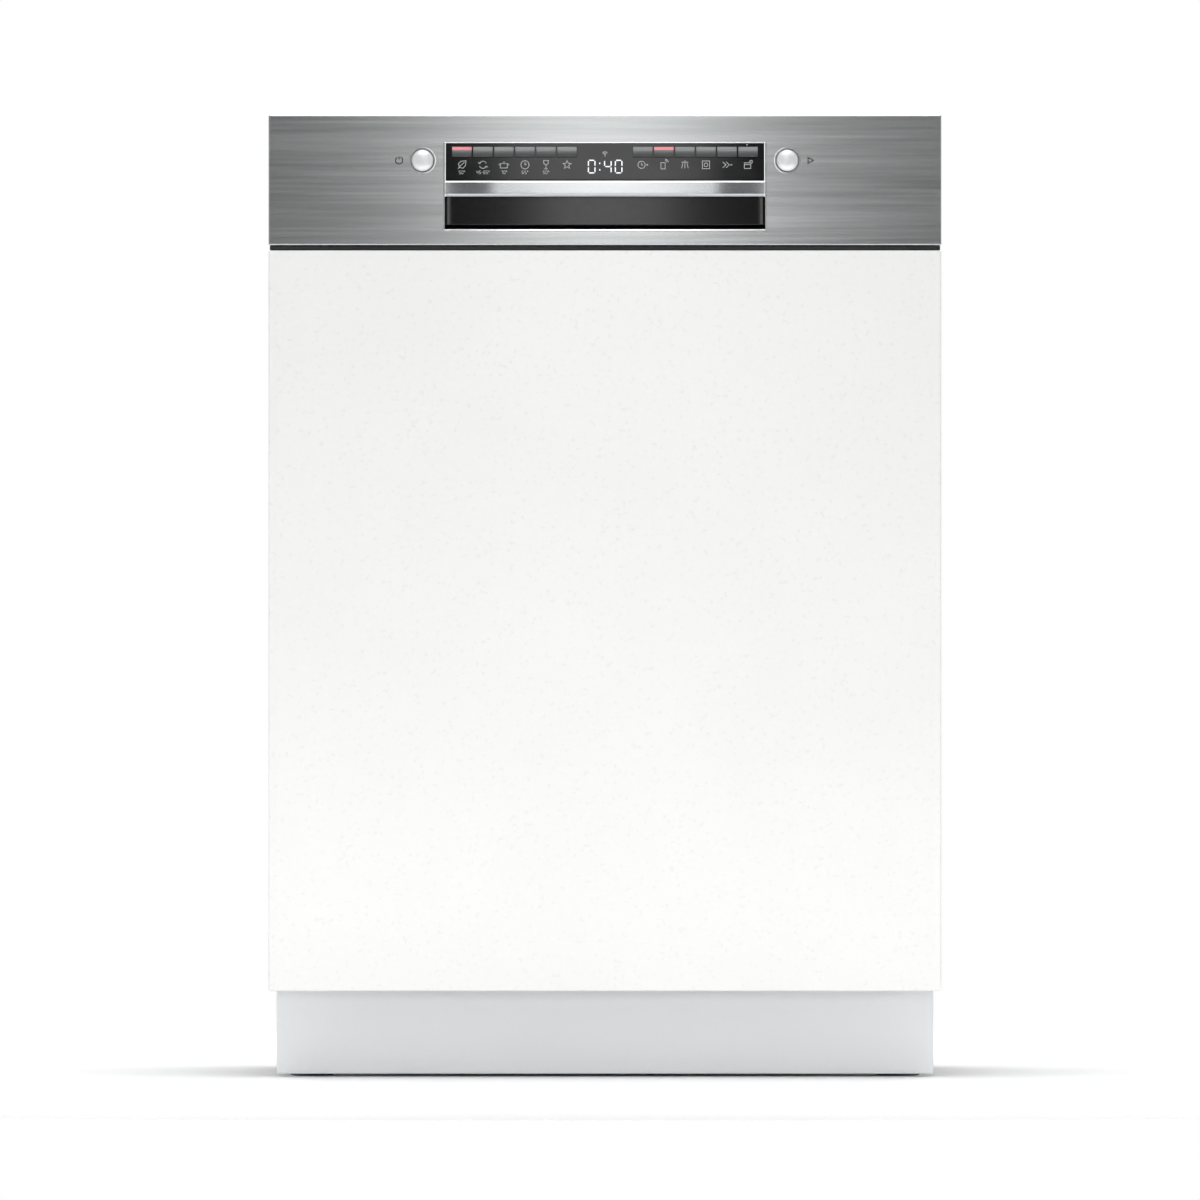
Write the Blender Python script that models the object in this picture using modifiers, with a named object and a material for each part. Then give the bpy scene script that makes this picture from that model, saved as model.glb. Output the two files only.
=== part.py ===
"""A 60 cm built-in dishwasher with a visible control panel and a kitchen front on its door.

Metres, +Z up, +X to the right, front facing -Y. The origin is on the floor under the middle of the
object. Each object is one physical piece. The door's pieces hang on an empty on the hinge axis, and
every other moving piece has its own origin, or its parent empty, on its joint's axis.
"""

from math import cos, pi, radians, sin

import bmesh
import bpy
from mathutils import Matrix, Vector

# Overall size
WIDTH, DEPTH, HEIGHT = 0.598, 0.573, 0.856
HALF = WIDTH / 2
FRONT, BACK = -DEPTH / 2, DEPTH / 2
GAP = 0.0004  # running gap between neighbouring pieces

# Door
HINGE_Y, HINGE_Z = -0.250, 0.112
FASCIA_Y = FRONT + 0.0025
FASCIA_LOW = 0.740
FASCIA_WALL = 0.001
PANEL_LOW, PANEL_HIGH, PANEL_THICK = 0.077, 0.7355, 0.019
PANEL_Y = FASCIA_Y + 0.0005
SHEET = 0.001
OUTER_DOOR_Y = PANEL_Y + PANEL_THICK + 0.0005
OUTER_DOOR_LOW = 0.098
INNER_DOOR_Y = -0.222
INNER_DOOR_LOW, INNER_DOOR_HIGH = 0.134, 0.851
DISH_DEPTH = 0.010
DISH_HALF, DISH_LOW, DISH_HIGH = 0.235, 0.165, 0.820

# Control panel
WINDOW_HALF, WINDOW_LOW, WINDOW_HIGH = 0.1435, 0.7526, 0.8319
LENS_HALF, LENS_LOW, LENS_HIGH = 0.1412, 0.7986, 0.8309
BAR_HALF, BAR_LOW, BAR_HIGH = 0.1420, 0.7829, 0.7982
KEY_PITCH, KEY_WIDTH, KEY_LOW, KEY_HIGH = 0.0187, 0.0174, 0.8184, 0.8276
KEY_FIRST = 0.0250  # nearest key edge on each side of the middle
KEYS_A_SIDE = 6
KEY_FRONT, KEY_BACK = FASCIA_Y + 0.0003, FASCIA_Y + 0.0048
BUTTON_X, BUTTON_Z, BUTTON_RADIUS = 0.1622, 0.8155, 0.0100
POCKET_HALF, POCKET_LOW, POCKET_HIGH = 0.1420, 0.7544, 0.8126
POCKET_WALL, POCKET_BACK = 0.0034, -0.249

# Cabinet
TUB_HALF, TUB_FRONT, TUB_BACK, TUB_LOW, TUB_HIGH = 0.265, -0.216, 0.246, 0.150, 0.835
TUB_WALL, TUB_FLANGE = 0.0012, 0.018
SIDE_OUT, SIDE_FRONT, SIDE_BACK, SIDE_LOW, SIDE_HIGH = 0.2985, -0.213, 0.272, 0.0785, 0.8506
BASE_HALF, BASE_FRONT, BASE_BACK, BASE_LOW, BASE_HIGH = 0.288, -0.186, 0.268, 0.053, 0.1484
BASE_WALL = 0.003
PLINTH_HALF, PLINTH_Y, PLINTH_THICK, PLINTH_LOW, PLINTH_HIGH = 0.293, -0.208, 0.016, 0.002, 0.092

# Feet: two at the front corners and one in the middle at the back
FOOT_PLACES = {"foot_front_left": (-0.262, -0.160), "foot_front_right": (0.262, -0.160), "foot_rear": (0, 0.235)}
FOOT_RADIUS, FOOT_PAD, FOOT_STEM, FOOT_STEM_TOP = 0.020, 0.012, 0.006, 0.095
BOSS_RADIUS, BOSS_TOP = 0.012, 0.100

# Water parts
FILTER_Y, FILTER_RADIUS = -0.078, 0.038
ARM_Y, POST_RADIUS, JOURNAL = 0, 0.014, 0.010
SALT_X, SALT_Y, SALT_NECK = -0.175, 0.060, 0.028
TUBE_Y, TUBE_RADIUS = 0.233, 0.010
DOCK_Z = 0.546
INLET_X, INLET_Z = -0.205, 0.095
DRAIN_X, GLAND_X = -0.110, 0.205

# Racks
WIRE = 0.0045
LOWER_RACK = (0.247, -0.208, 0.212, 0.202, 0.373)  # half width, front, back, floor, rim
UPPER_RACK = (0.241, -0.206, 0.212, 0.550, 0.690)
WHEEL_RADIUS, WHEEL_WIDTH, WHEEL_X = 0.018, 0.010, 0.2465
WHEEL_Z = TUB_LOW + WHEEL_RADIUS + GAP
WHEEL_YS = {"front": -0.055, "rear": 0.150}
RAIL_Z, ROLLER = 0.608, 0.008
RACK_ROLLERS = (0.020, 0.110)
TUB_ROLLERS, TUB_ROLLER = (-0.185, -0.105), 0.005
RAIL_WALL = 0.0016

COLOURS = {
    "steel": ((0.55, 0.56, 0.56, 1), 0.30, 1.0),
    "tub_steel": ((0.62, 0.63, 0.64, 1), 0.25, 1.0),
    "galvanised": ((0.50, 0.52, 0.53, 1), 0.45, 1.0),
    "white_front": ((0.90, 0.90, 0.90, 1), 0.35, 0.0),
    "plinth_white": ((0.80, 0.82, 0.83, 1), 0.45, 0.0),
    "black_gloss": ((0.02, 0.02, 0.022, 1), 0.12, 0.0),
    "black_plastic": ((0.03, 0.03, 0.03, 1), 0.45, 0.0),
    "silver_plastic": ((0.75, 0.75, 0.75, 1), 0.28, 0.6),
    "key_plastic": ((0.07, 0.07, 0.07, 1), 0.40, 0.0),
    "grey_plastic": ((0.35, 0.37, 0.38, 1), 0.50, 0.0),
    "light_plastic": ((0.70, 0.72, 0.72, 1), 0.45, 0.0),
    "rubber": ((0.05, 0.05, 0.05, 1), 0.75, 0.0),
    "rack_wire": ((0.45, 0.47, 0.49, 1), 0.35, 0.0),
}


def start_scene():
    """Empties the scene and makes the two collections: the parts and the cutters."""
    for obj in list(bpy.data.objects):
        bpy.data.objects.remove(obj)
    made = []
    for name in ("built_in_dishwasher", "cutters"):
        collection = bpy.data.collections.new(name)
        bpy.context.scene.collection.children.link(collection)
        made.append(collection)
    return made


PARTS, CUTTERS = start_scene()


def material(name):
    """The Principled material of one of COLOURS, made on first use."""
    found = bpy.data.materials.get(name)
    if found:
        return found
    colour, roughness, metallic = COLOURS[name]
    made = bpy.data.materials.new(name)
    made.use_nodes = True
    shader = made.node_tree.nodes["Principled BSDF"]
    shader.inputs["Base Color"].default_value = colour
    shader.inputs["Roughness"].default_value = roughness
    shader.inputs["Metallic"].default_value = metallic
    return made


def add_mesh(name, bm, collection=PARTS):
    """Turns a bmesh into an object in a collection."""
    mesh = bpy.data.meshes.new(name)
    bm.to_mesh(mesh)
    bm.free()
    obj = bpy.data.objects.new(name, mesh)
    collection.objects.link(obj)
    return obj


def helper(obj):
    """Marks an object as a cutter or an operand: the build and a render leave it out."""
    for collection in obj.users_collection:
        collection.objects.unlink(obj)
    CUTTERS.objects.link(obj)
    obj.hide_render = True
    obj.display_type = "WIRE"
    return obj


def block(name, low, high):
    """A box between two opposite corners, with its origin at its middle."""
    low, high = Vector(low), Vector(high)
    bm = bmesh.new()
    bmesh.ops.create_cube(bm, size=1)
    bmesh.ops.scale(bm, vec=high - low, verts=bm.verts)
    obj = add_mesh(name, bm)
    obj.location = (low + high) / 2
    return obj


AXIS_TURN = {
    "X": Matrix.Rotation(pi / 2, 3, "Y"),
    "Y": Matrix.Rotation(-pi / 2, 3, "X"),
    "Z": Matrix.Identity(3),
}


def rod(name, radius, low, high, axis="Z", segments=24, end_radius=None):
    """A cylinder or cone along an axis between two points that differ only along it."""
    low, high = Vector(low), Vector(high)
    bm = bmesh.new()
    bmesh.ops.create_cone(
        bm,
        cap_ends=True,
        segments=segments,
        radius1=radius,
        radius2=radius if end_radius is None else end_radius,
        depth=(high - low).length,
        matrix=AXIS_TURN[axis].to_4x4(),
    )
    obj = add_mesh(name, bm)
    obj.location = (low + high) / 2
    return obj


def turned(name, profile, centre, axis="Z", steps=32):
    """A turned piece from (radius, height) points that run down its outer side from the axis and back to it."""
    bm = bmesh.new()
    points = [bm.verts.new((radius, 0, height)) for radius, height in profile]
    for first, second in zip(points, points[1:]):
        bm.edges.new((first, second))
    obj = add_mesh(name, bm)
    screw = obj.modifiers.new("turn", "SCREW")
    screw.steps = screw.render_steps = steps
    screw.use_merge_vertices = True
    screw.merge_threshold = 0.00001
    obj.location = centre
    obj.rotation_euler = AXIS_TURN[axis].to_euler()
    return obj


PLATE_TURN = {  # an outline's own X and Y on the two axes that are left, and its thickness along the third
    "X": Matrix(((0, 0, 1), (1, 0, 0), (0, 1, 0))),
    "Y": Matrix(((1, 0, 0), (0, 0, -1), (0, 1, 0))),
    "Z": Matrix.Identity(3),
}


def plate(name, outlines, low, high, normal):
    """A flat plate with a closed outline and holes, between two heights along its normal, as a welded mesh."""
    curve = bpy.data.curves.new(name, "CURVE")
    curve.dimensions = "2D"
    curve.fill_mode = "BOTH"
    curve.extrude = (high - low) / 2
    for outline in outlines:
        spline = curve.splines.new("POLY")
        spline.points.add(len(outline) - 1)
        for point, (u, v) in zip(spline.points, outline):
            point.co = (u, v, 0, 1)
        spline.use_cyclic_u = True
    flat = bpy.data.objects.new(name + "_outline", curve)
    PARTS.objects.link(flat)
    flat.rotation_euler = PLATE_TURN[normal].to_euler()
    flat.location["XYZ".index(normal)] = (low + high) / 2
    return as_mesh(name, flat)


def as_mesh(name, curve_object):
    """Replaces a curve object by its welded mesh."""
    bpy.context.view_layer.update()
    graph = bpy.context.evaluated_depsgraph_get()
    mesh = bpy.data.meshes.new_from_object(curve_object.evaluated_get(graph))
    mesh.name = name
    bm = bmesh.new()
    bm.from_mesh(mesh)
    bmesh.ops.remove_doubles(bm, verts=bm.verts, dist=0.00001)
    bm.to_mesh(mesh)
    bm.free()
    obj = bpy.data.objects.new(name, mesh)
    PARTS.objects.link(obj)
    obj.matrix_world = curve_object.matrix_world
    bpy.data.objects.remove(curve_object)
    return obj


def boolean(obj, other, operation):
    """Adds a Boolean modifier and makes its operand a helper."""
    modifier = obj.modifiers.new(operation.lower(), "BOOLEAN")
    modifier.operation = operation
    modifier.object = helper(other)
    return obj


def cut(obj, *others):
    for other in others:
        boolean(obj, other, "DIFFERENCE")
    return obj


def join(obj, *others):
    for other in others:
        boolean(obj, other, "UNION")
    return obj


def bevel(obj, width, segments=1, angle=30):
    """Rounds the edges that are sharper than the angle."""
    modifier = obj.modifiers.new("bevel", "BEVEL")
    modifier.width = width
    modifier.segments = segments
    modifier.limit_method = "ANGLE"
    modifier.angle_limit = radians(angle)
    return obj


def solidify(obj, wall, offset):
    """Gives an open surface its wall, on the side of its normals with offset 1 and against them with -1."""
    modifier = obj.modifiers.new("wall", "SOLIDIFY")
    modifier.thickness = wall
    modifier.offset = offset
    modifier.use_even_offset = True
    return obj


def open_box(name, low, high, open_axis, open_sign, wall, offset=-1, corner=0):
    """A thin box with one side open. The given corners are its outside with offset -1, its inside with 1."""
    low, high = Vector(low), Vector(high)
    bm = bmesh.new()
    bmesh.ops.create_cube(bm, size=1)
    bmesh.ops.scale(bm, vec=high - low, verts=bm.verts)
    direction = Vector([open_sign if k == open_axis else 0 for k in range(3)])
    gone = [face for face in bm.faces if face.normal.dot(direction) > 0.9]
    bmesh.ops.delete(bm, geom=gone, context="FACES")
    if corner:
        closed = [edge for edge in bm.edges if not edge.is_boundary]
        bmesh.ops.bevel(bm, geom=closed, offset=corner, segments=2, profile=0.5, affect="EDGES")
    obj = add_mesh(name, bm)
    obj.location = (low + high) / 2
    return solidify(obj, wall, offset)


def arc(centre, radius, start, end, count):
    """Points on an arc, in degrees, both ends included."""
    steps = [radians(start + (end - start) * k / count) for k in range(count + 1)]
    return [(centre[0] + radius * cos(a), centre[1] + radius * sin(a)) for a in steps]


def rectangle(low_u, high_u, low_v, high_v):
    return [(low_u, low_v), (high_u, low_v), (high_u, high_v), (low_u, high_v)]


def finish(obj, slot, parent=None):
    """Gives a piece its material, shades it and hangs it on its parent, where it stays in place."""
    obj.data.materials.append(material(slot))
    obj.data.shade_smooth()
    obj.data.set_sharp_from_angle(angle=radians(35))
    if parent:
        bpy.context.view_layer.update()
        obj.parent = parent
        obj.matrix_parent_inverse = parent.matrix_world.inverted()
    return obj


def pivot(name, place, parent=None):
    """An empty on a joint's axis."""
    empty = bpy.data.objects.new(name, None)
    PARTS.objects.link(empty)
    empty.location = place
    empty.empty_display_size = 0.03
    if parent:
        bpy.context.view_layer.update()
        empty.parent = parent
        empty.matrix_parent_inverse = parent.matrix_world.inverted()
    return empty


# ---- cabinet ----


def make_tub():
    """The steel wash chamber: open at the front, with a flange round its mouth and the door's catch welded on."""
    low = Vector((-TUB_HALF, TUB_FRONT, TUB_LOW))
    high = Vector((TUB_HALF, TUB_BACK, TUB_HIGH))
    tub = open_box("tub", low, high, 1, -1, TUB_WALL, offset=1, corner=0.010)
    bm = bmesh.new()
    bm.from_mesh(tub.data)
    rim = [edge for edge in bm.edges if edge.is_boundary]
    grown = bmesh.ops.extrude_edge_only(bm, edges=rim)["geom"]
    ring = [item for item in grown if isinstance(item, bmesh.types.BMVert)]
    half_x, half_z = TUB_HALF, (TUB_HIGH - TUB_LOW) / 2
    stretch = Vector(((half_x + TUB_FLANGE) / half_x, 1, (half_z + TUB_FLANGE) / half_z))
    bmesh.ops.scale(bm, vec=stretch, verts=ring)
    bm.to_mesh(tub.data)
    bm.free()
    floor = (TUB_LOW - 0.02, TUB_LOW + 0.02)
    for name, radius, x, y in (
        ("sump_hole", 0.0525, 0, FILTER_Y),
        ("post_hole", POST_RADIUS + 0.001, 0, ARM_Y),
        ("salt_hole", SALT_NECK + 0.001, SALT_X, SALT_Y),
        ("tube_hole", TUBE_RADIUS + 0.001, 0, TUBE_Y),
    ):
        cut(tub, rod(name, radius, (x, y, floor[0]), (x, y, floor[1])))
    height = ROLLER + 0.0006 + RAIL_WALL + 0.0004 + TUB_ROLLER
    for side in (-1, 1):
        for y in TUB_ROLLERS:
            for z in (RAIL_Z - height, RAIL_Z + height):
                ends = sorted((side * 0.2602, side * (TUB_HALF + TUB_WALL / 2)))
                join(tub, rod("rail_roller", TUB_ROLLER, (ends[0], y, z), (ends[1], y, z), "X", 12))
    join(tub, block("catch", (-0.012, TUB_FRONT - 0.014, 0.8455), (0.012, TUB_FRONT + 0.0006, 0.8490)))
    return finish(tub, "tub_steel")


def make_base_pan():
    """The moulded tray under the tub, with threaded bosses for the feet and the ports at the back."""
    pan = open_box(
        "base_pan",
        (-BASE_HALF, BASE_FRONT, BASE_LOW),
        (BASE_HALF, BASE_BACK, BASE_HIGH),
        2,
        1,
        BASE_WALL,
    )
    for foot, (x, y) in FOOT_PLACES.items():
        join(pan, rod(foot + "_boss", BOSS_RADIUS, (x, y, BASE_LOW + 0.001), (x, y, BOSS_TOP)))
        cut(pan, rod(foot + "_thread", FOOT_STEM + GAP, (x, y, 0.03), (x, y, 0.12)))
    drain = rod("drain_port", 0.010, (DRAIN_X, BASE_BACK - 0.02, 0.100), (DRAIN_X, BACK, 0.100), "Y")
    gland = rod("mains_gland", 0.011, (GLAND_X, BASE_BACK - 0.002, 0.095), (GLAND_X, BACK - 0.006, 0.095), "Y")
    join(pan, drain, gland)
    cut(pan, rod("drain_bore", 0.008, (DRAIN_X, 0.24, 0.100), (DRAIN_X, 0.30, 0.100), "Y"))
    cut(pan, rod("gland_bore", 0.005, (GLAND_X, 0.24, 0.095), (GLAND_X, 0.30, 0.095), "Y"))
    cut(pan, rod("inlet_hole", 0.0145, (INLET_X, 0.25, INLET_Z), (INLET_X, 0.29, INLET_Z), "Y"))
    return finish(pan, "black_plastic")


def make_side_panel(side, name):
    """A galvanised side sheet with its front and back edges folded in."""
    outer, inner, fold = SIDE_OUT, SIDE_OUT - SHEET, SIDE_OUT - 0.008
    outline = [
        (outer, SIDE_FRONT),
        (outer, SIDE_BACK),
        (fold, SIDE_BACK),
        (fold, SIDE_BACK - SHEET),
        (inner, SIDE_BACK - SHEET),
        (inner, SIDE_FRONT + SHEET),
        (fold, SIDE_FRONT + SHEET),
        (fold, SIDE_FRONT),
    ]
    outline = [(side * x, y) for x, y in outline][::side]
    return finish(plate(name, [outline], SIDE_LOW, SIDE_HIGH, "Z"), "galvanised")


def make_rear_panel():
    low = (-0.295, SIDE_BACK - SHEET - 0.0014, 0.152)
    return finish(block("rear_panel", low, (0.295, low[1] + SHEET, 0.850)), "galvanised")


def make_top_cover():
    top = block("top_cover", (-SIDE_OUT, -0.2135, 0.8512), (SIDE_OUT, SIDE_BACK, 0.8524))
    return finish(top, "galvanised")


def make_plinth():
    plinth = block(
        "plinth_panel",
        (-PLINTH_HALF, PLINTH_Y, PLINTH_LOW),
        (PLINTH_HALF, PLINTH_Y + PLINTH_THICK, PLINTH_HIGH),
    )
    return finish(bevel(plinth, 0.0008), "plinth_white")


def make_tub_seal():
    """The rubber seal: an upside-down U on the flange, along both sides and the top of the mouth."""
    outer, inner, low = TUB_HALF + 0.012, TUB_HALF + 0.002, TUB_LOW - 0.012
    top_out, top_in, bend = TUB_HIGH + 0.0095, TUB_HIGH + 0.0015, 0.014
    outline = [(-outer, low), (-outer, top_out - bend)]
    outline += arc((-outer + bend, top_out - bend), bend, 180, 90, 4)[1:]
    outline += arc((outer - bend, top_out - bend), bend, 90, 0, 4)
    outline += [(outer, low), (inner, low), (inner, top_in), (-inner, top_in), (-inner, low)]
    seal = plate("tub_seal", [outline[::-1]], INNER_DOOR_Y + GAP, TUB_FRONT - GAP, "Y")
    return finish(seal, "rubber")


def make_hinge_bracket(side, name):
    """A steel arm on the front of the base that carries the door's pivot pin."""
    x_low, x_high, radius = 0.270, 0.276, 0.012
    outline = arc((HINGE_Y, HINGE_Z), radius, 270, 90, 8)
    outline += [(BASE_FRONT - 0.0045, HINGE_Z + radius), (BASE_FRONT - 0.0045, HINGE_Z - radius)]
    ends = sorted((side * x_low, side * x_high))
    bracket = plate(name, [outline[::-1]], ends[0], ends[1], "X")
    flange_x = sorted((side * 0.256, side * 0.290))
    flange = block(
        name + "_flange",
        (flange_x[0], BASE_FRONT - 0.006, 0.0945),
        (flange_x[1], BASE_FRONT - GAP, 0.1295),
    )
    pin_x = sorted((side * 0.2615, side * 0.272))
    pin = rod(name + "_pin", 0.005, (pin_x[0], HINGE_Y, HINGE_Z), (pin_x[1], HINGE_Y, HINGE_Z), "X")
    return finish(join(bracket, flange, pin), "galvanised")


def make_door_spring(side, name):
    """The extension spring that balances the door, as the outer shape of its closed turns, with its end hooks."""
    turns, radius, half = 14, 0.0075, 0.060
    profile = [(0, half)]
    for turn in range(turns):
        top = half - turn * 2 * half / turns
        profile += [(radius - 0.0015, top), (radius, top - half / turns)]
    profile += [(radius - 0.0015, -half), (0, -half)]
    spring = turned(name, profile, (side * 0.274, -0.040, 0.118), "Y", steps=12)
    return finish(spring, "galvanised")


def make_sump():
    """The pot under the tub's floor with the post that feeds and carries the lower spray arm."""
    top, low, outer, inner = TUB_LOW - 0.0004, 0.066, 0.0515, 0.0475
    profile = [(0, low + 0.004), (inner, low + 0.004), (inner, top), (outer, top), (outer, low), (0, low)]
    sump = turned("sump", profile, (0, FILTER_Y, 0))
    duct = block("duct", (-0.012, FILTER_Y + 0.049, 0.104), (0.012, ARM_Y + 0.004, 0.132))
    post = turned(
        "post",
        [
            (0, 0.1860),
            (0.016, 0.1860),
            (0.016, 0.1808),
            (JOURNAL, 0.1808),
            (JOURNAL, 0.1655),
            (POST_RADIUS, 0.1655),
            (POST_RADIUS, 0.108),
            (0, 0.108),
        ],
        (0, ARM_Y, 0),
        steps=24,
    )
    return finish(join(sump, duct, post), "grey_plastic")


def make_circulation_pump():
    """The wash pump with its heater housing and motor, lying along X beside the sump."""
    profile = [
        (0, 0.065),
        (0.026, 0.065),
        (0.030, 0.060),
        (0.030, -0.012),
        (0.040, -0.016),
        (0.042, -0.050),
        (0.022, -0.056),
        (0.022, -0.064),
        (0, -0.064),
    ]
    return finish(turned("circulation_pump", profile, (0.126, -0.030, 0.102), "X", 28), "light_plastic")


def make_water_softener():
    """The softener block in the base with the salt filler's neck through the tub's floor."""
    softener = block("water_softener", (-0.258, -0.050, 0.058), (-0.118, 0.150, 0.146))
    bevel(softener, 0.006)
    neck = rod("neck", SALT_NECK, (SALT_X, SALT_Y, 0.130), (SALT_X, SALT_Y, 0.1525))
    bore = rod("neck_bore", SALT_NECK - 0.004, (SALT_X, SALT_Y, 0.075), (SALT_X, SALT_Y, 0.16))
    return finish(cut(join(softener, neck), bore), "light_plastic")


def make_salt_cap():
    """The screw cap on the salt filler, turned by its raised bar."""
    cap = turned(
        "salt_cap",
        [(0, 0.0060), (0.030, 0.0060), (0.033, 0.0040), (0.033, 0), (0, 0)],
        (SALT_X, SALT_Y, 0.1530),
        steps=24,
    )
    grip = block("salt_grip", (SALT_X - 0.024, SALT_Y - 0.004, 0.157), (SALT_X + 0.024, SALT_Y + 0.004, 0.1635))
    return finish(join(cap, grip), "grey_plastic")


def make_filter_cylinder():
    """The micro filter cup that hangs in the sump, with its collar on the tub's floor."""
    radius, low = FILTER_RADIUS, 0.076
    profile = [
        (0, low + 0.002),
        (radius - 0.002, low + 0.002),
        (radius - 0.002, 0.1575),
        (radius + 0.001, 0.1585),
        (radius + 0.006, 0.1585),
        (radius + 0.006, 0.1545),
        (radius, 0.1525),
        (radius, low),
        (0, low),
    ]
    return finish(turned("filter_cylinder", profile, (0, FILTER_Y, 0)), "grey_plastic")


def make_inlet_valve():
    """The solenoid valve whose threaded nipple comes out at the back for the water hose."""
    valve = block("inlet_valve", (INLET_X - 0.024, 0.222, 0.074), (INLET_X + 0.024, 0.258, 0.118))
    bevel(valve, 0.003)
    nipple = rod("nipple", 0.0132, (INLET_X, 0.255, INLET_Z), (INLET_X, BACK - 0.0005, INLET_Z), "Y")
    bore = rod("nipple_bore", 0.009, (INLET_X, 0.262, INLET_Z), (INLET_X, 0.30, INLET_Z), "Y")
    return finish(cut(join(valve, nipple), bore), "light_plastic")


def make_feed_tube():
    """The riser up the tub's back wall and along its ceiling, with the upper rack's port and the top shower."""
    curve = bpy.data.curves.new("feed_tube", "CURVE")
    curve.dimensions = "3D"
    curve.bevel_depth = TUBE_RADIUS
    curve.bevel_resolution = 3
    curve.use_fill_caps = True
    bend, top = 0.030, 0.815
    turn = [(y, z) for y, z in arc((TUBE_Y - bend, top - bend), bend, 0, 90, 5)]
    line = [(TUBE_Y, 0.138)] + turn + [(ARM_Y, top)]
    spline = curve.splines.new("POLY")
    spline.points.add(len(line) - 1)
    for point, (y, z) in zip(spline.points, line):
        point.co = (0, y, z, 1)
    tube_curve = bpy.data.objects.new("feed_line", curve)
    PARTS.objects.link(tube_curve)
    tube = as_mesh("feed_tube", tube_curve)
    shower = turned(
        "shower",
        [(0, 0.828), (0.012, 0.828), (0.014, 0.806), (0.030, 0.800), (0.030, 0.795), (0, 0.792)],
        (0, ARM_Y, 0),
        steps=24,
    )
    port = rod("port", 0.013, (0, 0.2145, DOCK_Z), (0, TUBE_Y, DOCK_Z), "Y", segments=16)
    return finish(join(tube, shower, port), "grey_plastic")


def make_foot(name, x, y):
    """An adjustable foot: a threaded stem on a round pad."""
    profile = [
        (0, FOOT_STEM_TOP),
        (FOOT_STEM - 0.001, FOOT_STEM_TOP),
        (FOOT_STEM, FOOT_STEM_TOP - 0.001),
        (FOOT_STEM, FOOT_PAD + 0.003),
        (FOOT_RADIUS - 0.004, FOOT_PAD),
        (FOOT_RADIUS, 0.006),
        (FOOT_RADIUS, 0.001),
        (FOOT_RADIUS - 0.001, 0),
        (0, 0),
    ]
    return finish(turned(name, profile, (x, y, 0), steps=24), "black_plastic")


# ---- door ----


def make_furniture_panel(door):
    panel = block(
        "furniture_panel",
        (-HALF, PANEL_Y, PANEL_LOW),
        (HALF, PANEL_Y + PANEL_THICK, PANEL_HIGH),
    )
    return finish(bevel(panel, 0.001, 2), "white_front", door)


def make_outer_door(door):
    """The door's steel skin behind the kitchen front, with its sides folded back."""
    front, back = OUTER_DOOR_Y, INNER_DOOR_Y - 0.004
    x_out, x_in = 0.297, 0.297 - SHEET
    outline = [
        (-x_out, front),
        (x_out, front),
        (x_out, back),
        (x_in, back),
        (x_in, front + SHEET),
        (-x_in, front + SHEET),
        (-x_in, back),
        (-x_out, back),
    ]
    return finish(plate("outer_door", [outline], OUTER_DOOR_LOW, FASCIA_LOW - 0.001, "Z"), "galvanised", door)


def make_inner_door(door):
    """The door's steel liner, dished in the middle, with its sides folded forward."""
    front = INNER_DOOR_Y - 0.036
    liner = open_box(
        "inner_door",
        (-0.295, front, INNER_DOOR_LOW),
        (0.295, INNER_DOOR_Y, INNER_DOOR_HIGH),
        1,
        -1,
        SHEET,
    )
    bm = bmesh.new()
    bm.from_mesh(liner.data)
    face = max(bm.faces, key=lambda f: f.normal.y)
    bmesh.ops.inset_region(bm, faces=[face], thickness=0.03)
    middle = liner.location
    for vert in face.verts:
        vert.co.x = (DISH_HALF + 0.012) * (1 if vert.co.x > 0 else -1)
        vert.co.z = (DISH_HIGH + 0.012 if vert.co.z > 0 else DISH_LOW - 0.012) - middle.z
    bmesh.ops.inset_region(bm, faces=[face], thickness=0.012, depth=-DISH_DEPTH)
    bm.to_mesh(liner.data)
    bm.free()
    cut(liner, block("dispenser_hole", (-0.079, -0.26, 0.406), (0.079, -0.20, 0.504)))
    for side in (-1, 1):
        ends = sorted((side * 0.2625, side * 0.2685))
        cut(liner, block("arm_slot", (ends[0], -0.2650, 0.1300), (ends[1], -0.2350, 0.1380)))
    cut(liner, block("catch_hole", (-0.016, -0.24, 0.8435), (0.016, -0.20, 0.8495)))
    return finish(liner, "tub_steel", door)


def make_fascia(door):
    """The brushed steel front of the control panel, with its window and its two button holes."""
    fascia = open_box(
        "fascia",
        (-HALF, FASCIA_Y, FASCIA_LOW),
        (HALF, FASCIA_Y + 0.019, HEIGHT),
        1,
        1,
        FASCIA_WALL,
    )
    top = block("fascia_top", (-HALF, FASCIA_Y + 0.010, HEIGHT - FASCIA_WALL), (HALF, -0.2235, HEIGHT))
    join(fascia, top)
    window = block("window", (-WINDOW_HALF, -0.30, WINDOW_LOW), (WINDOW_HALF, -0.27, WINDOW_HIGH))
    cut(fascia, window)
    for side in (-1, 1):
        x = side * BUTTON_X
        hole = rod("button_hole", BUTTON_RADIUS + 0.0006, (x, -0.30, BUTTON_Z), (x, -0.27, BUTTON_Z), "Y", 32)
        cut(fascia, hole)
    return finish(fascia, "steel", door)


def make_control_window(door):
    """The black control window with a blind slot for each row of keys."""
    lens = block(
        "control_window",
        (-LENS_HALF, FASCIA_Y + 0.0012, LENS_LOW),
        (LENS_HALF, FASCIA_Y + 0.0078, LENS_HIGH),
    )
    span = KEYS_A_SIDE * KEY_PITCH
    for side in (-1, 1):
        ends = sorted((side * (KEY_FIRST - 0.0008), side * (KEY_FIRST + span - 0.0005)))
        slot = block(
            "key_slot",
            (ends[0], -0.30, KEY_LOW - 0.0005),
            (ends[1], KEY_BACK + 0.0018, KEY_HIGH + 0.0005),
        )
        cut(lens, slot)
    return finish(lens, "black_gloss", door)


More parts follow.
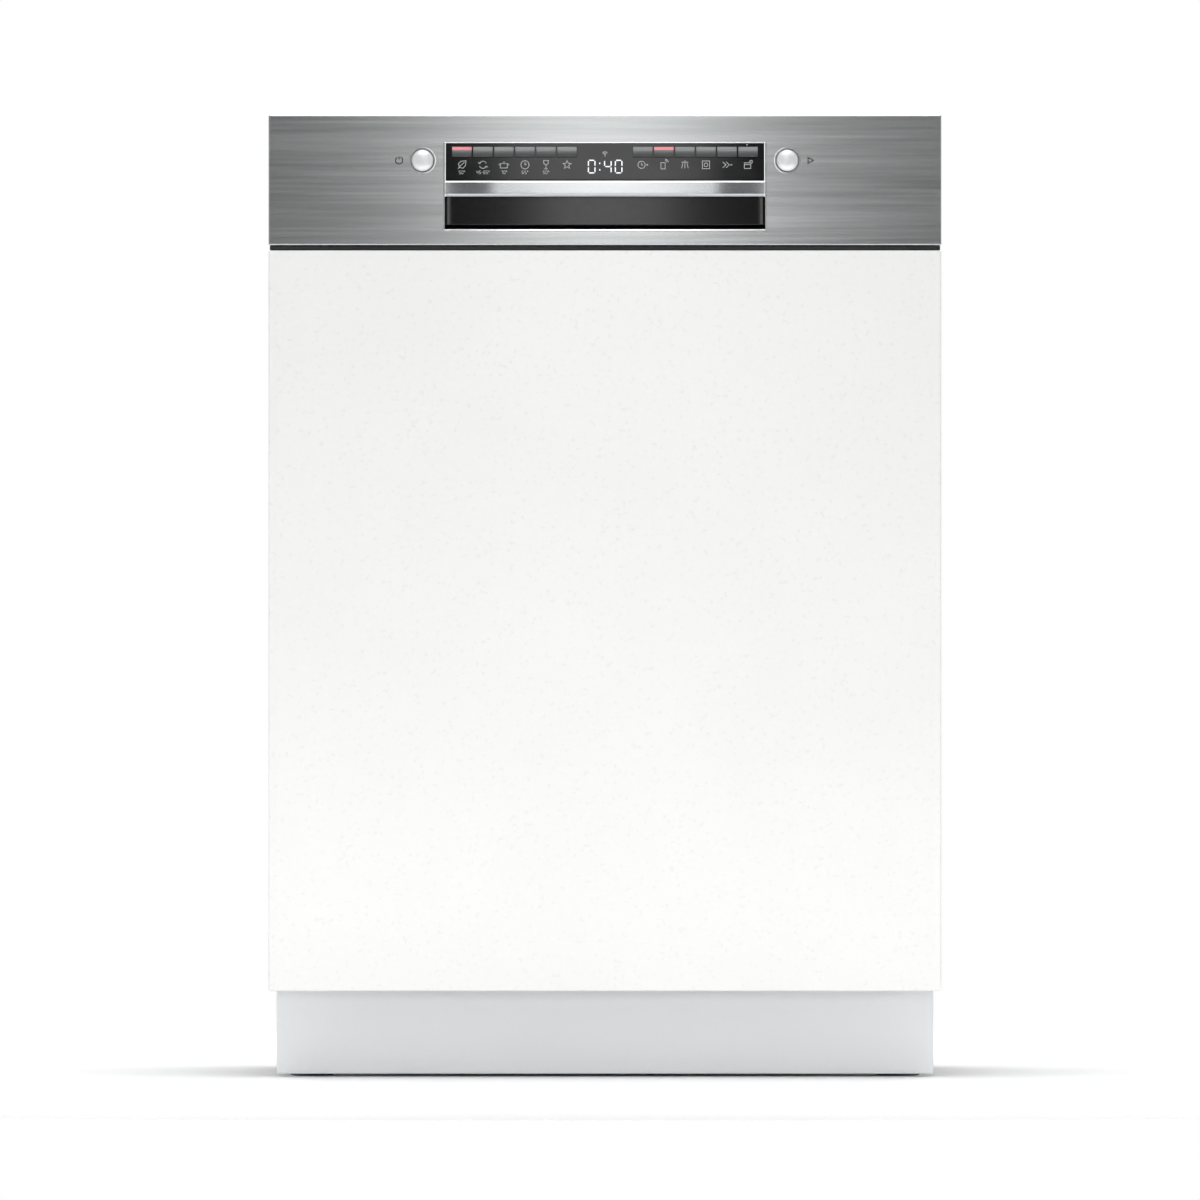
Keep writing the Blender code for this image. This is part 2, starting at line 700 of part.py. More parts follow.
def make_keys(door):
    """Six push keys on each side of the display, in their slots."""
    for side, word in ((-1, "programme_key"), (1, "option_key")):
        for number in range(KEYS_A_SIDE):
            near = KEY_FIRST + (KEYS_A_SIDE - 1 - number if side < 0 else number) * KEY_PITCH
            ends = sorted((side * near, side * (near + KEY_WIDTH)))
            key = block(f"{word}_{number + 1}", (ends[0], KEY_FRONT, KEY_LOW), (ends[1], KEY_BACK, KEY_HIGH))
            finish(bevel(key, 0.0005), "key_plastic", door)


def make_handle_bar(door):
    """The silver grip bar: its front swells forward in the middle and falls back towards its ends."""
    back, flat_half, swell = FASCIA_Y + 0.0095, 0.095, 0.0030
    tip = FRONT + swell
    bend = [
        (flat_half + (BAR_HALF - flat_half) * k / 6, FRONT + swell * (1 - cos(pi * k / 6)) / 2)
        for k in range(7)
    ]
    outline = [(-x, y) for x, y in reversed(bend)] + bend + [(BAR_HALF, back), (-BAR_HALF, back)]
    assert abs(bend[-1][1] - tip) < 1e-9
    bar = plate("handle_bar", [outline], BAR_LOW, BAR_HIGH, "Z")
    return finish(bevel(bar, 0.0012, 2, 60), "silver_plastic", door)


def make_handle_pocket(door):
    """The black recess behind the bar: fingers go in under the bar and up behind it."""
    wall, collar_back = POCKET_WALL, FASCIA_Y + 0.009
    pocket = block(
        "handle_pocket",
        (-POCKET_HALF - wall, collar_back, POCKET_LOW - wall),
        (POCKET_HALF + wall, POCKET_BACK + wall, POCKET_HIGH + wall),
    )
    collar = block(
        "collar",
        (-POCKET_HALF - wall, FASCIA_Y + FASCIA_WALL + GAP, POCKET_LOW - wall),
        (POCKET_HALF + wall, collar_back + 0.001, BAR_HIGH - 0.0010),
    )
    join(pocket, collar)
    cavity = block(
        "cavity",
        (-POCKET_HALF, collar_back - 0.001, POCKET_LOW),
        (POCKET_HALF, POCKET_BACK, POCKET_HIGH),
    )
    mouth = block("mouth", (-POCKET_HALF - GAP, -0.30, POCKET_LOW), (POCKET_HALF + GAP, collar_back + 0.001, 0.80))
    return finish(cut(pocket, cavity, mouth), "black_plastic", door)


def make_button(door, side, name):
    """A round domed push button."""
    profile = [(0, 0.0065), (0.004, 0.0062), (0.0075, 0.0052), (0.0095, 0.0036), (BUTTON_RADIUS, 0.0024)]
    profile += [(BUTTON_RADIUS, -0.0050), (0, -0.0050)]
    button = turned(name, profile, (side * BUTTON_X, FRONT + 0.0065, BUTTON_Z), "Y", 32)
    button.rotation_euler = Matrix.Rotation(pi / 2, 3, "X").to_euler()
    return finish(button, "silver_plastic", door)


def make_dispenser(door):
    """The detergent and rinse-aid unit set into the liner, and its two lids."""
    dish = INNER_DOOR_Y - DISH_DEPTH
    body = block("dispenser_body", (-0.0775, -0.2590, 0.4075), (0.0775, dish + 0.0010, 0.5025))
    flange = block("dispenser_flange", (-0.085, dish + GAP, 0.4000), (0.085, dish + 0.0030, 0.5100))
    join(body, flange)
    cut(body, block("detergent_cup", (-0.066, -0.2560, 0.4190), (-0.006, -0.20, 0.4910)))
    cut(body, block("rinse_aid_filler", (0.022, -0.2500, 0.4420), (0.058, -0.20, 0.4700)))
    finish(body, "light_plastic", door)
    top = dish + 0.0030
    lid = block("detergent_lid", (-0.070, top + GAP, 0.4150), (-0.002, top + 0.0030, 0.4950))
    finish(bevel(lid, 0.0010), "grey_plastic", door)
    flap = block("rinse_aid_lid", (0.012, top + GAP, 0.4270), (0.068, top + 0.0030, 0.4830))
    finish(bevel(flap, 0.0008), "grey_plastic", door)


def make_hinge_arm(door, side, name):
    """The lever inside the door's edge that turns on the bracket's pin."""
    outline = arc((HINGE_Y, HINGE_Z), 0.0105, 180, 360, 8)
    outline += [(-0.2370, 0.140), (-0.2370, 0.300), (-0.2570, 0.300), (-0.2600, 0.150)]
    hole = arc((HINGE_Y, HINGE_Z), 0.0054, 360, 22.5, 15)
    ends = sorted((side * 0.2640, side * 0.2670))
    return finish(plate(name, [outline, hole], ends[0], ends[1], "X"), "galvanised", door)


# ---- racks ----


def lattice(name, boxes):
    """The union of axis-aligned boxes as one welded skin."""
    stops = [sorted({round(box[end][axis], 6) for box in boxes for end in (0, 1)}) for axis in range(3)]

    def filled(cell):
        if any(k < 0 or k >= len(stops[axis]) - 1 for axis, k in enumerate(cell)):
            return False
        middle = [(stops[axis][k] + stops[axis][k + 1]) / 2 for axis, k in enumerate(cell)]
        return any(all(low[k] < middle[k] < high[k] for k in range(3)) for low, high in boxes)

    cells = [range(len(stops[axis]) - 1) for axis in range(3)]
    solid = {(i, j, k) for i in cells[0] for j in cells[1] for k in cells[2] if filled((i, j, k))}
    bm = bmesh.new()
    corners = {}

    def corner(index):
        if index not in corners:
            corners[index] = bm.verts.new([stops[axis][index[axis]] for axis in range(3)])
        return corners[index]

    for cell in sorted(solid):
        for axis in range(3):
            for side in (0, 1):
                beside = tuple(cell[k] + (2 * side - 1 if k == axis else 0) for k in range(3))
                if beside in solid:
                    continue
                u, v = (axis + 1) % 3, (axis + 2) % 3
                loop = []
                for step_u, step_v in ((0, 0), (1, 0), (1, 1), (0, 1)):
                    index = list(cell)
                    index[axis] += side
                    index[u] += step_u
                    index[v] += step_v
                    loop.append(corner(tuple(index)))
                bm.faces.new(loop if side else loop[::-1])
    return add_mesh(name, bm)


def wire_basket(name, size, cells, side_bar=None):
    """A basket of wires: a grid floor, one upright at each floor wire's end, a rim and side bars at a height."""
    half, front, back, floor, rim = size
    thick = WIRE / 2
    xs = [-half + thick + k * (2 * half - WIRE) / cells[0] for k in range(cells[0] + 1)]
    ys = [front + thick + k * (back - front - WIRE) / cells[1] for k in range(cells[1] + 1)]
    boxes = [((x - thick, front, floor), (x + thick, back, floor + WIRE)) for x in xs]
    boxes += [((-half, y - thick, floor), (half, y + thick, floor + WIRE)) for y in ys]
    posts = [(x, y) for x in xs for y in (ys[0], ys[-1])] + [(x, y) for y in ys[1:-1] for x in (xs[0], xs[-1])]
    boxes += [((x - thick, y - thick, floor), (x + thick, y + thick, rim)) for x, y in posts]
    boxes += [((x - thick, front, rim - WIRE), (x + thick, back, rim)) for x in (xs[0], xs[-1])]
    boxes += [((-half, y - thick, rim - WIRE), (half, y + thick, rim)) for y in (ys[0], ys[-1])]
    if side_bar:
        low, high = side_bar - thick, side_bar + thick
        boxes += [((x - thick, ys[1] - thick, low), (x + thick, back, high)) for x in (xs[0], xs[-1])]
    return lattice(name, boxes)


def make_lower_rack(slide):
    """The lower rack with the legs and axle pins of its four wheels."""
    rack = wire_basket("lower_rack", LOWER_RACK, (6, 4))
    for y in WHEEL_YS.values():
        for side in (-1, 1):
            leg_x = sorted((side * 0.2350, side * 0.2405))
            leg = block("leg", (leg_x[0], y - 0.009, WHEEL_Z - 0.008), (leg_x[1], y + 0.009, 0.2052))
            clip_x = sorted((side * 0.2360, side * 0.2450))
            join(rack, block("clip", (clip_x[0], y - 0.008, 0.1985), (clip_x[1], y + 0.008, 0.2048)))
            pin_x = sorted((side * 0.2380, side * 0.2560))
            pin = rod("axle", 0.003, (pin_x[0], y, WHEEL_Z), (pin_x[1], y, WHEEL_Z), "X", 12)
            head_x = sorted((side * 0.2530, side * 0.2560))
            head = rod("axle_head", 0.006, (head_x[0], y, WHEEL_Z), (head_x[1], y, WHEEL_Z), "X", 12)
            join(rack, leg, pin, head)
    return finish(rack, "rack_wire", slide)


def make_wheel(slide, side, place, name):
    """A rack wheel with its bore on the axle."""
    half, bore = WHEEL_WIDTH / 2, 0.0036
    bm = bmesh.new()
    ring = [(bore, half), (WHEEL_RADIUS - 0.001, half), (WHEEL_RADIUS, half - 0.001)]
    ring += [(WHEEL_RADIUS, 0.001 - half), (WHEEL_RADIUS - 0.001, -half), (bore, -half)]
    points = [bm.verts.new((radius, 0, height)) for radius, height in ring]
    for first, second in zip(points, points[1:] + points[:1]):
        bm.edges.new((first, second))
    wheel = add_mesh(name, bm)
    screw = wheel.modifiers.new("turn", "SCREW")
    screw.steps = screw.render_steps = 24
    screw.use_merge_vertices = True
    screw.merge_threshold = 0.00001
    wheel.location = (side * WHEEL_X, place, WHEEL_Z)
    wheel.rotation_euler = AXIS_TURN["X"].to_euler()
    return finish(wheel, "light_plastic", slide)


def make_plate_tines(slide):
    """A fold-down row of plate tines on one rod, as one comb."""
    y, low, high, first, count, pitch, wire = 0.060, 0.2085, 0.318, -0.2200, 10, 0.036, 0.004
    outline = [(first, low)]
    for number in range(count):
        x = first + number * pitch
        outline += [(x, low + wire), (x, high), (x + wire, high), (x + wire, low + wire)]
    outline[1:2] = []
    end = first + (count - 1) * pitch + wire
    outline = outline[:-1] + [(end, low)]
    tines = plate("plate_tines", [outline[::-1]], y - wire / 2, y + wire / 2, "Y")
    return finish(tines, "rack_wire", slide)


def make_cutlery_basket(slide):
    """The lift-out cutlery basket, open at the top, with two inner walls and a carrying bow."""
    x, y, low, high, wall = (0.1480, 0.2320), (-0.1950, 0.0250), 0.2070, 0.3150, 0.002
    basket = open_box("cutlery_basket", (x[0], y[0], low), (x[1], y[1], high), 2, 1, wall)
    for k in (1, 2):
        middle = y[0] + (y[1] - y[0]) * k / 3
        join(
            basket,
            block("partition", (x[0] + 0.001, middle - 0.001, low + 0.001), (x[1] - 0.001, middle + 0.001, high - 0.010)),
        )
    middle_y, bow = (y[0] + y[1]) / 2, 0.338
    for low_y, high_y, low_z in ((y[0] + 0.0001, y[0] + 0.006, 0.30), (y[1] - 0.006, y[1] - 0.0001, 0.30)):
        join(basket, block("bow_leg", (0.186, low_y, low_z), (0.194, high_y, bow)))
    join(basket, block("bow", (0.186, y[0] + 0.0001, bow - 0.007), (0.194, y[1] - 0.0001, bow + 0.0001)))
    assert y[0] < middle_y < y[1]
    return finish(basket, "grey_plastic", slide)


def make_upper_rack(slide):
    """The upper rack with its rollers and the pipe and journal that carry the upper spray arm."""
    rack = wire_basket("upper_rack", UPPER_RACK, (6, 4), RAIL_Z)
    pipe = rod("pipe", 0.007, (0, ARM_Y - 0.006, DOCK_Z), (0, 0.2135, DOCK_Z), "Y", 16)
    journal = turned(
        "journal",
        [(0, 0.550), (0.011, 0.550), (0.011, 0.5340), (0.008, 0.5340), (0.008, 0.5180), (0.013, 0.5180)]
        + [(0.013, 0.5140), (0, 0.5140)],
        (0, ARM_Y, 0),
        steps=24,
    )
    join(rack, pipe, journal)
    for side in (-1, 1):
        for y in RACK_ROLLERS:
            ends = sorted((side * 0.2390, side * 0.2610))
            join(rack, rod("roller", ROLLER, (ends[0], y, RAIL_Z), (ends[1], y, RAIL_Z), "X", 16))
    return finish(rack, "rack_wire", slide)


def make_rail(slide, side, name):
    """One of the two channels that carry the upper rack's rollers and slide out with it."""
    web, lip, half, wall = 0.2640, 0.2545, ROLLER + 0.0006, RAIL_WALL
    outline = [
        (web, RAIL_Z - half - wall),
        (web, RAIL_Z + half + wall),
        (lip, RAIL_Z + half + wall),
        (lip, RAIL_Z + half),
        (web - wall, RAIL_Z + half),
        (web - wall, RAIL_Z - half),
        (lip, RAIL_Z - half),
        (lip, RAIL_Z - half - wall),
    ]
    outline = [(side * x, z) for x, z in outline][::side]
    return finish(plate(name, [outline], -0.196, 0.216, "Y"), "tub_steel", slide)


def make_spray_arm(name, half_length, low, high, bore, axle):
    """A two-ended spray arm, widest at its hub, with its bearing bore."""
    hub, tip, count = 0.026, 0.012, 6
    outline = arc((half_length - tip, 0), tip, -90, 90, 6)
    outline += [(0.060, 0.019)] + arc((0, 0), hub, 50, 130, 4) + [(-0.060, 0.019)]
    outline += arc((-half_length + tip, 0), tip, 90, 270, 6)
    outline += [(-0.060, -0.019)] + arc((0, 0), hub, 230, 310, 4) + [(0.060, -0.019)]
    hole = arc((0, 0), bore, 360, 360 / 24, 23)
    arm = plate(name, [outline, hole], low, high, "Z")
    arm.location.x, arm.location.y = axle
    assert count == 6
    return arm


def make_cabinet():
    make_tub()
    make_base_pan()
    make_side_panel(-1, "side_panel_left")
    make_side_panel(1, "side_panel_right")
    make_rear_panel()
    make_top_cover()
    make_plinth()
    make_tub_seal()
    for side, word in ((-1, "left"), (1, "right")):
        make_hinge_bracket(side, "hinge_bracket_" + word)
        make_door_spring(side, "door_spring_" + word)
    make_sump()
    make_circulation_pump()
    make_water_softener()
    make_salt_cap()
    make_filter_cylinder()
    make_inlet_valve()
    make_feed_tube()
    for name, (x, y) in FOOT_PLACES.items():
        make_foot(name, x, y)
    arm = make_spray_arm("lower_spray_arm", 0.212, 0.1660, 0.1800, JOURNAL + 0.0006, (0, ARM_Y))
    finish(arm, "grey_plastic")


def make_door():
    door = pivot("door_axis", (0, HINGE_Y, HINGE_Z))
    make_furniture_panel(door)
    make_outer_door(door)
    make_inner_door(door)
    make_fascia(door)
    make_control_window(door)
    make_keys(door)
    make_handle_bar(door)
    make_handle_pocket(door)
    make_button(door, -1, "power_button")
    make_button(door, 1, "start_button")
    make_dispenser(door)
    make_hinge_arm(door, -1, "hinge_arm_left")
    make_hinge_arm(door, 1, "hinge_arm_right")


def make_racks():
    lower = pivot("lower_rack_slide", (0, LOWER_RACK[1], LOWER_RACK[3]))
    make_lower_rack(lower)
    for place, y in WHEEL_YS.items():
        for side, word in ((-1, "left"), (1, "right")):
            make_wheel(lower, side, y, f"rack_wheel_{place}_{word}")
    make_plate_tines(lower)
    make_cutlery_basket(lower)
    upper = pivot("upper_rack_slide", (0, UPPER_RACK[1], UPPER_RACK[3]))
    make_upper_rack(upper)
    arm = make_spray_arm("upper_spray_arm", 0.205, 0.5200, 0.5320, 0.0086, (0, ARM_Y))
    finish(arm, "grey_plastic", upper)
    for side, word in ((-1, "left"), (1, "right")):
        make_rail(upper, side, "upper_rail_" + word)


make_cabinet()
make_door()
make_racks()
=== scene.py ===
# Built-in dishwasher: a steel control panel over a white kitchen front, with its racks and washing parts inside.
import math

import bmesh
import bpy
from mathutils import Matrix, Vector


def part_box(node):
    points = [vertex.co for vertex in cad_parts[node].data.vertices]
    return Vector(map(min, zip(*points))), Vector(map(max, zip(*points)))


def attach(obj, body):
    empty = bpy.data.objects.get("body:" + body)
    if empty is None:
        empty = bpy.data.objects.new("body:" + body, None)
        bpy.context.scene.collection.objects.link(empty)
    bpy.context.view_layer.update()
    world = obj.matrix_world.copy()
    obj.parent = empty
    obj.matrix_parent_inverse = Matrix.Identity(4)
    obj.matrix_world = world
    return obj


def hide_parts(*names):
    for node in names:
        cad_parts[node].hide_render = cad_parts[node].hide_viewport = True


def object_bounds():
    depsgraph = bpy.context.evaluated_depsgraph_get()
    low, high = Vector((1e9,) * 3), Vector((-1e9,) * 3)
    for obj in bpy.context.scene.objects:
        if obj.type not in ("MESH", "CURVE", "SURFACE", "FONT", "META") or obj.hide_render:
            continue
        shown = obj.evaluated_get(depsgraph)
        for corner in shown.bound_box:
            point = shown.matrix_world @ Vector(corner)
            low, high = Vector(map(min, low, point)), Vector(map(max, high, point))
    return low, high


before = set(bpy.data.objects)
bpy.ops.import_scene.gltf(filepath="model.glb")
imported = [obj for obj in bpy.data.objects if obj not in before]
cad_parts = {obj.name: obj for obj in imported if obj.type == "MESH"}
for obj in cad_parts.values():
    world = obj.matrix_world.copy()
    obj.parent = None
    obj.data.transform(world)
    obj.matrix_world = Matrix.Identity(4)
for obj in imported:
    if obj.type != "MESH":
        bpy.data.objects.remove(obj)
cadBounds = [list(corner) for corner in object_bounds()]
scene = bpy.context.scene
mm = 0.001
origin, upward, backward, forward, rightward = (0, 0, 0), (0, 0, 1), (0, 1, 0), (0, -1, 0), (1, 0, 0)


def hexColour(code, alpha=1.0):
    # sRGB hex to the linear colour that nodes take
    parts = [int(code[k:k + 2], 16) / 255 for k in (1, 3, 5)]
    return [c / 12.92 if c <= 0.04045 else ((c + 0.055) / 1.055) ** 2.4 for c in parts] + [alpha]


def inMm(*points):
    # points given in millimetres, as a list in metres
    return [(a * mm, b * mm) for a, b in points]


def camel(node):
    # a frame part's name as a piece's name
    first, *rest = node.split("_")
    return first + "".join(word.capitalize() for word in rest)


def addNode(tree, kind, values=None, **settings):
    # a value that is a socket becomes a link
    made = tree.nodes.new(kind)
    for name, value in settings.items():
        setattr(made, name, value)
    for key, value in (values or {}).items():
        if isinstance(value, bpy.types.NodeSocket):
            tree.links.new(value, made.inputs[key])
        else:
            made.inputs[key].default_value = value
    return made


def finish(name, colours, roughness, cloud, grain, bump, metallic=0.0, ior=1.5, sockets=None):
    # one material: colour clouds, roughness that follows the grain, and the grain's relief.
    # colours and roughness are (low, high); cloud and grain are how many marks fit in a metre along x, y, z;
    # bump is (strength, depth in metres)
    made = bpy.data.materials.new(name)
    made.use_nodes = True
    tree = made.node_tree
    shader = tree.nodes["Principled BSDF"]
    for key, value in {"Metallic": metallic, "IOR": ior, **(sockets or {})}.items():
        shader.inputs[key].default_value = value
    spot = addNode(tree, "ShaderNodeTexCoord").outputs["Object"]
    broadSpot = addNode(tree, "ShaderNodeMapping", {"Vector": spot, "Scale": cloud}).outputs[0]
    broad = addNode(tree, "ShaderNodeTexNoise", {"Vector": broadSpot, "Scale": 1.0, "Detail": 2.0}).outputs[0]
    fineSpot = addNode(tree, "ShaderNodeMapping", {"Vector": spot, "Scale": grain}).outputs[0]
    fine = addNode(tree, "ShaderNodeTexNoise", {"Vector": fineSpot, "Scale": 1.0, "Detail": 1.5}).outputs[0]
    both = addNode(tree, "ShaderNodeMix", {0: 0.4, 2: broad, 3: fine}, data_type="FLOAT").outputs[0]
    ramp = addNode(tree, "ShaderNodeValToRGB", {"Fac": both})
    for element, position, colour in zip(ramp.color_ramp.elements, (0.35, 0.65), colours):
        element.position, element.color = position, hexColour(colour)
    spread = {"Value": fine, "From Min": 0.3, "From Max": 0.7, "To Min": roughness[0], "To Max": roughness[1]}
    rough = addNode(tree, "ShaderNodeMapRange", spread).outputs[0]
    relief = addNode(tree, "ShaderNodeBump", {"Height": fine, "Strength": bump[0], "Distance": bump[1]}).outputs[0]
    tree.links.new(ramp.outputs[0], shader.inputs["Base Color"])
    tree.links.new(rough, shader.inputs["Roughness"])
    tree.links.new(relief, shader.inputs["Normal"])
    return made


def glow(name, colour, strength):
    # light from the diodes through a printed mask, a little uneven
    made = finish(name, (colour, colour), (0.35, 0.45), (60, 60, 60), (900, 900, 900), (0.05, 0.0001))
    tree = made.node_tree
    shader = tree.nodes["Principled BSDF"]
    spot = addNode(tree, "ShaderNodeTexCoord").outputs["Object"]
    patch = addNode(tree, "ShaderNodeTexNoise", {"Vector": spot, "Scale": 140.0}).outputs[0]
    shade = addNode(tree, "ShaderNodeMix", {0: patch, 6: hexColour(colour), 7: hexColour("#ffffff")},
        data_type="RGBA")
    dim = addNode(tree, "ShaderNodeMix", {0: 0.85, 6: shade.outputs[2], 7: hexColour(colour)}, data_type="RGBA")
    tree.links.new(dim.outputs[2], shader.inputs["Emission Color"])
    shader.inputs["Emission Strength"].default_value = strength
    return made


def keyShadedFinish(name, top, middle, bottom):
    # satin PC/ABS keys with painted shade: the base colour runs from light at the upper edge to dark at the foot of
    # the 9 mm key, standing in for how light falls into the recess
    made = finish(name, (middle, middle), (0.30, 0.38), (60, 60, 60), (1500, 1500, 1500), (0.06, 0.0001), 0.0, 1.58)
    tree = made.node_tree
    spot = addNode(tree, "ShaderNodeTexCoord").outputs["Object"]
    height = addNode(tree, "ShaderNodeSeparateXYZ", {0: spot}).outputs[2]
    low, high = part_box("programme_key_1")
    part = addNode(tree, "ShaderNodeMapRange", {"Value": height, "From Min": low.z, "From Max": high.z}).outputs[0]
    # the painted shade: a colour ramp up the key's height, light at the top and dark at the bottom
    ramp = addNode(tree, "ShaderNodeValToRGB", {"Fac": part})
    ramp.color_ramp.elements.new(0.62)
    for element, position, colour in zip(ramp.color_ramp.elements, (0.0, 0.62, 0.80), (bottom, middle, top)):
        element.position, element.color = position, hexColour(colour)
    tree.links.new(ramp.outputs[0], tree.nodes["Principled BSDF"].inputs["Base Color"])
    return made


# 1.4301 stainless sheet, dry-brushed along x: long fine lines and a soft sheen. The real lines are 0.1 mm
# apart; here they are about 3 mm, so that they show.
steelFront = finish("brushedStainless", ("#b4b6b6", "#cbcdcd"), (0.23, 0.25), (3, 40, 60), (6, 40, 360),
    (0.004, 0.0002), 1.0)
# the same steel, polished: a bright narrow edge
steelTrim = finish("polishedStainless", ("#e2e3e3", "#ebecec"), (0.10, 0.16), (8, 8, 8), (400, 400, 400),
    (0.03, 0.0001), 1.0)
# deep-drawn satin stainless: even, with faint clouds from the press
steelTub = finish("satinStainless", ("#cfd2d3", "#d8dadb"), (0.24, 0.31), (6, 6, 6), (900, 900, 900),
    (0.05, 0.0001), 1.0)
# hot-dip galvanised sheet: dull zinc with crystals about 12 mm across
zincSheet = finish("galvanisedSheet", ("#989da0", "#b4b9bb"), (0.38, 0.54), (80, 80, 80), (420, 420, 420),
    (0.14, 0.0002), 1.0)
# sprayed lacquer on MDF: white and smooth with a ripple every 4 mm
whiteLacquer = finish("whiteLacquer", ("#ededec", "#f0f0ef"), (0.27, 0.33), (5, 5, 5), (260, 260, 260),
    (0.06, 0.0002))
# melamine foil on chipboard: cool white, a fine pearl grain
plinthFoil = finish("melamineFoil", ("#f4f6f8", "#f7f9fa"), (0.40, 0.50), (6, 6, 6), (700, 700, 700),
    (0.12, 0.0002), 0.0, 1.5)
# tinted PMMA window: near black and glossy
blackAcrylic = finish("tintedAcrylic", ("#060607", "#0a0a0b"), (0.09, 0.13), (20, 20, 20), (40, 40, 40),
    (0.02, 0.0002), 0.0, 1.49)
# moulded ABS with a soft satin
blackSatin = finish("blackSatinAbs", ("#0b0c0d", "#121314"), (0.30, 0.38), (20, 20, 20), (900, 900, 900),
    (0.12, 0.0002), 0.0, 1.54)
# polished ABS of the grip's scoop: deep black, with a clear soft reflection
blackPolished = finish("polishedBlackAbs", ("#060707", "#0a0b0b"), (0.13, 0.17), (20, 20, 20), (300, 300, 300),
    (0.01, 0.0001), 0.0, 1.54)
# glass-filled polypropylene of the base: dull black with a coarse grain
blackGrained = finish("grainedPolypropylene", ("#131415", "#1e2021"), (0.48, 0.60), (14, 14, 14), (700, 700, 700),
    (0.35, 0.0003))
# the keys' painted shade: light grey at the top falling to near black at the bottom
keyPaintedShade = keyShadedFinish("keyPlasticPaintedShade", "#8d9090", "#5d5f60", "#1b1c1d")
keyLit = glow("litKeyWindow", "#d2797e", 0.40)
# screen-printed white ink behind the acrylic
inkGrey = glow("printedMarks", "#9b9d9e", 0.38)
displayWhite = glow("displayDigits", "#d9dfe1", 0.66)
inkDark = finish("darkInk", ("#242627", "#2b2d2e"), (0.45, 0.55), (90, 90, 90), (1500, 1500, 1500), (0.05, 0.0001))
# EPDM rubber: matt black, faintly dusty
rubberBlack = finish("sealRubber", ("#151617", "#212324"), (0.66, 0.80), (30, 30, 30), (500, 500, 500),
    (0.3, 0.0002), 0.0, 1.52)
# satin chrome plating on the grip's bar
satinChrome = finish("satinChrome", ("#bcbebf", "#c2c4c5"), (0.18, 0.21), (8, 8, 8), (20, 90, 90), (0.004, 0.0001),
    1.0)
# aluminium-flake paint on ABS: bright, with a very fine sparkle
pearlSilver = finish("pearlSilverPaint", ("#dfe1e2", "#e8eaea"), (0.34, 0.42), (12, 12, 12), (2600, 2600, 2600),
    (0.04, 0.0001), 0.45)
# nylon powder on steel wire: grey, waxy, slightly lumpy
rackNylon = finish("nylonCoatedWire", ("#a4a9ac", "#b2b7ba"), (0.36, 0.46), (40, 40, 40), (350, 350, 350),
    (0.25, 0.0003), 0.0, 1.53)
# moulded polypropylene
greyPlastic = finish("greyPolypropylene", ("#70767a", "#7c8286"), (0.36, 0.46), (16, 16, 16), (800, 800, 800),
    (0.16, 0.0002))
lightPlastic = finish("lightPolypropylene", ("#c5c8c9", "#d1d4d5"), (0.32, 0.42), (16, 16, 16), (800, 800, 800),
    (0.14, 0.0002))
# zinc-plated screws and springs: bright and slightly blue
zincPlate = finish("zincPlating", ("#b3b9be", "#c5cbd0"), (0.20, 0.32), (60, 60, 60), (900, 900, 900),
    (0.08, 0.0001), 1.0)


def meshObject(name, bm, material, smooth=40):
    mesh = bpy.data.meshes.new(name)
    bm.to_mesh(mesh)
    bm.free()
    made = bpy.data.objects.new(name, mesh)
    scene.collection.objects.link(made)
    made.data.materials.append(material)
    if smooth:
        mesh.shade_smooth()
        mesh.set_sharp_from_angle(angle=math.radians(smooth))
    return made


def settle(piece, smooth=40):
    # turns the modifiers' result into the piece's own mesh
    bpy.context.view_layer.update()
    graph = bpy.context.evaluated_depsgraph_get()
    mesh = bpy.data.meshes.new_from_object(piece.evaluated_get(graph))
    piece.modifiers.clear()
    piece.data = mesh
    if smooth:
        mesh.shade_smooth()
        mesh.set_sharp_from_angle(angle=math.radians(smooth))
    return piece


def bevelled(piece, width, segments=2, angle=40):
    made = piece.modifiers.new("bevel", "BEVEL")
    made.width, made.segments = width, segments
    made.limit_method, made.angle_limit = "ANGLE", math.radians(angle)
    return settle(piece)


def boxMesh(bm, low, high):
    low, high = Vector(low), Vector(high)
    made = bmesh.ops.create_cube(bm, size=1)["verts"]
    bmesh.ops.scale(bm, vec=high - low, verts=made)
    bmesh.ops.translate(bm, vec=(low + high) / 2, verts=made)


def boxPiece(name, low, high, material, edge=0.0, segments=3):
    bm = bmesh.new()
    boxMesh(bm, low, high)
    made = meshObject(name, bm, material)
    return bevelled(made, edge, segments) if edge else made


def carve(piece, *cutters, operation="DIFFERENCE"):
    for cutter in cutters:
        change = piece.modifiers.new("carve", "BOOLEAN")
        change.operation, change.object = operation, cutter
    settle(piece)
    for cutter in cutters:
        bpy.data.objects.remove(cutter)
    return piece


def skin(bm, rings):
    # faces between neighbouring closed rings of points
    made = []
    for first, second in zip(rings, rings[1:]):
        for corners in zip(first, first[1:] + first[:1], second[1:] + second[:1], second):
            made.append(bm.faces.new(corners))
    return made


def lathe(name, profile, centre, axis, material, sides=48, smooth=40):
    # turns (radius, height) points round an axis: height runs along it
    turn = Vector(axis).to_track_quat("Z", "Y").to_matrix()
    bm = bmesh.new()
    rings = []
    for radius, height in profile:
        count = 1 if radius < 1e-6 else sides
        ring = []
        for k in range(count):
            angle = 2 * math.pi * k / sides
            spot = Vector((radius * math.cos(angle), radius * math.sin(angle), height))
            ring.append(bm.verts.new(Vector(centre) + turn @ spot))
        rings.append(ring)
    for first, second in zip(rings, rings[1:]):
        for k in range(sides):
            a, b = first[k % len(first)], first[(k + 1) % len(first)]
            c, d = second[(k + 1) % len(second)], second[k % len(second)]
            corners = list(dict.fromkeys((a, b, c, d)))
            if len(corners) > 2:
                bm.faces.new(corners)
    bmesh.ops.remove_doubles(bm, verts=bm.verts, dist=1e-6)
    bmesh.ops.recalc_face_normals(bm, faces=bm.faces)
    return meshObject(name, bm, material, smooth)


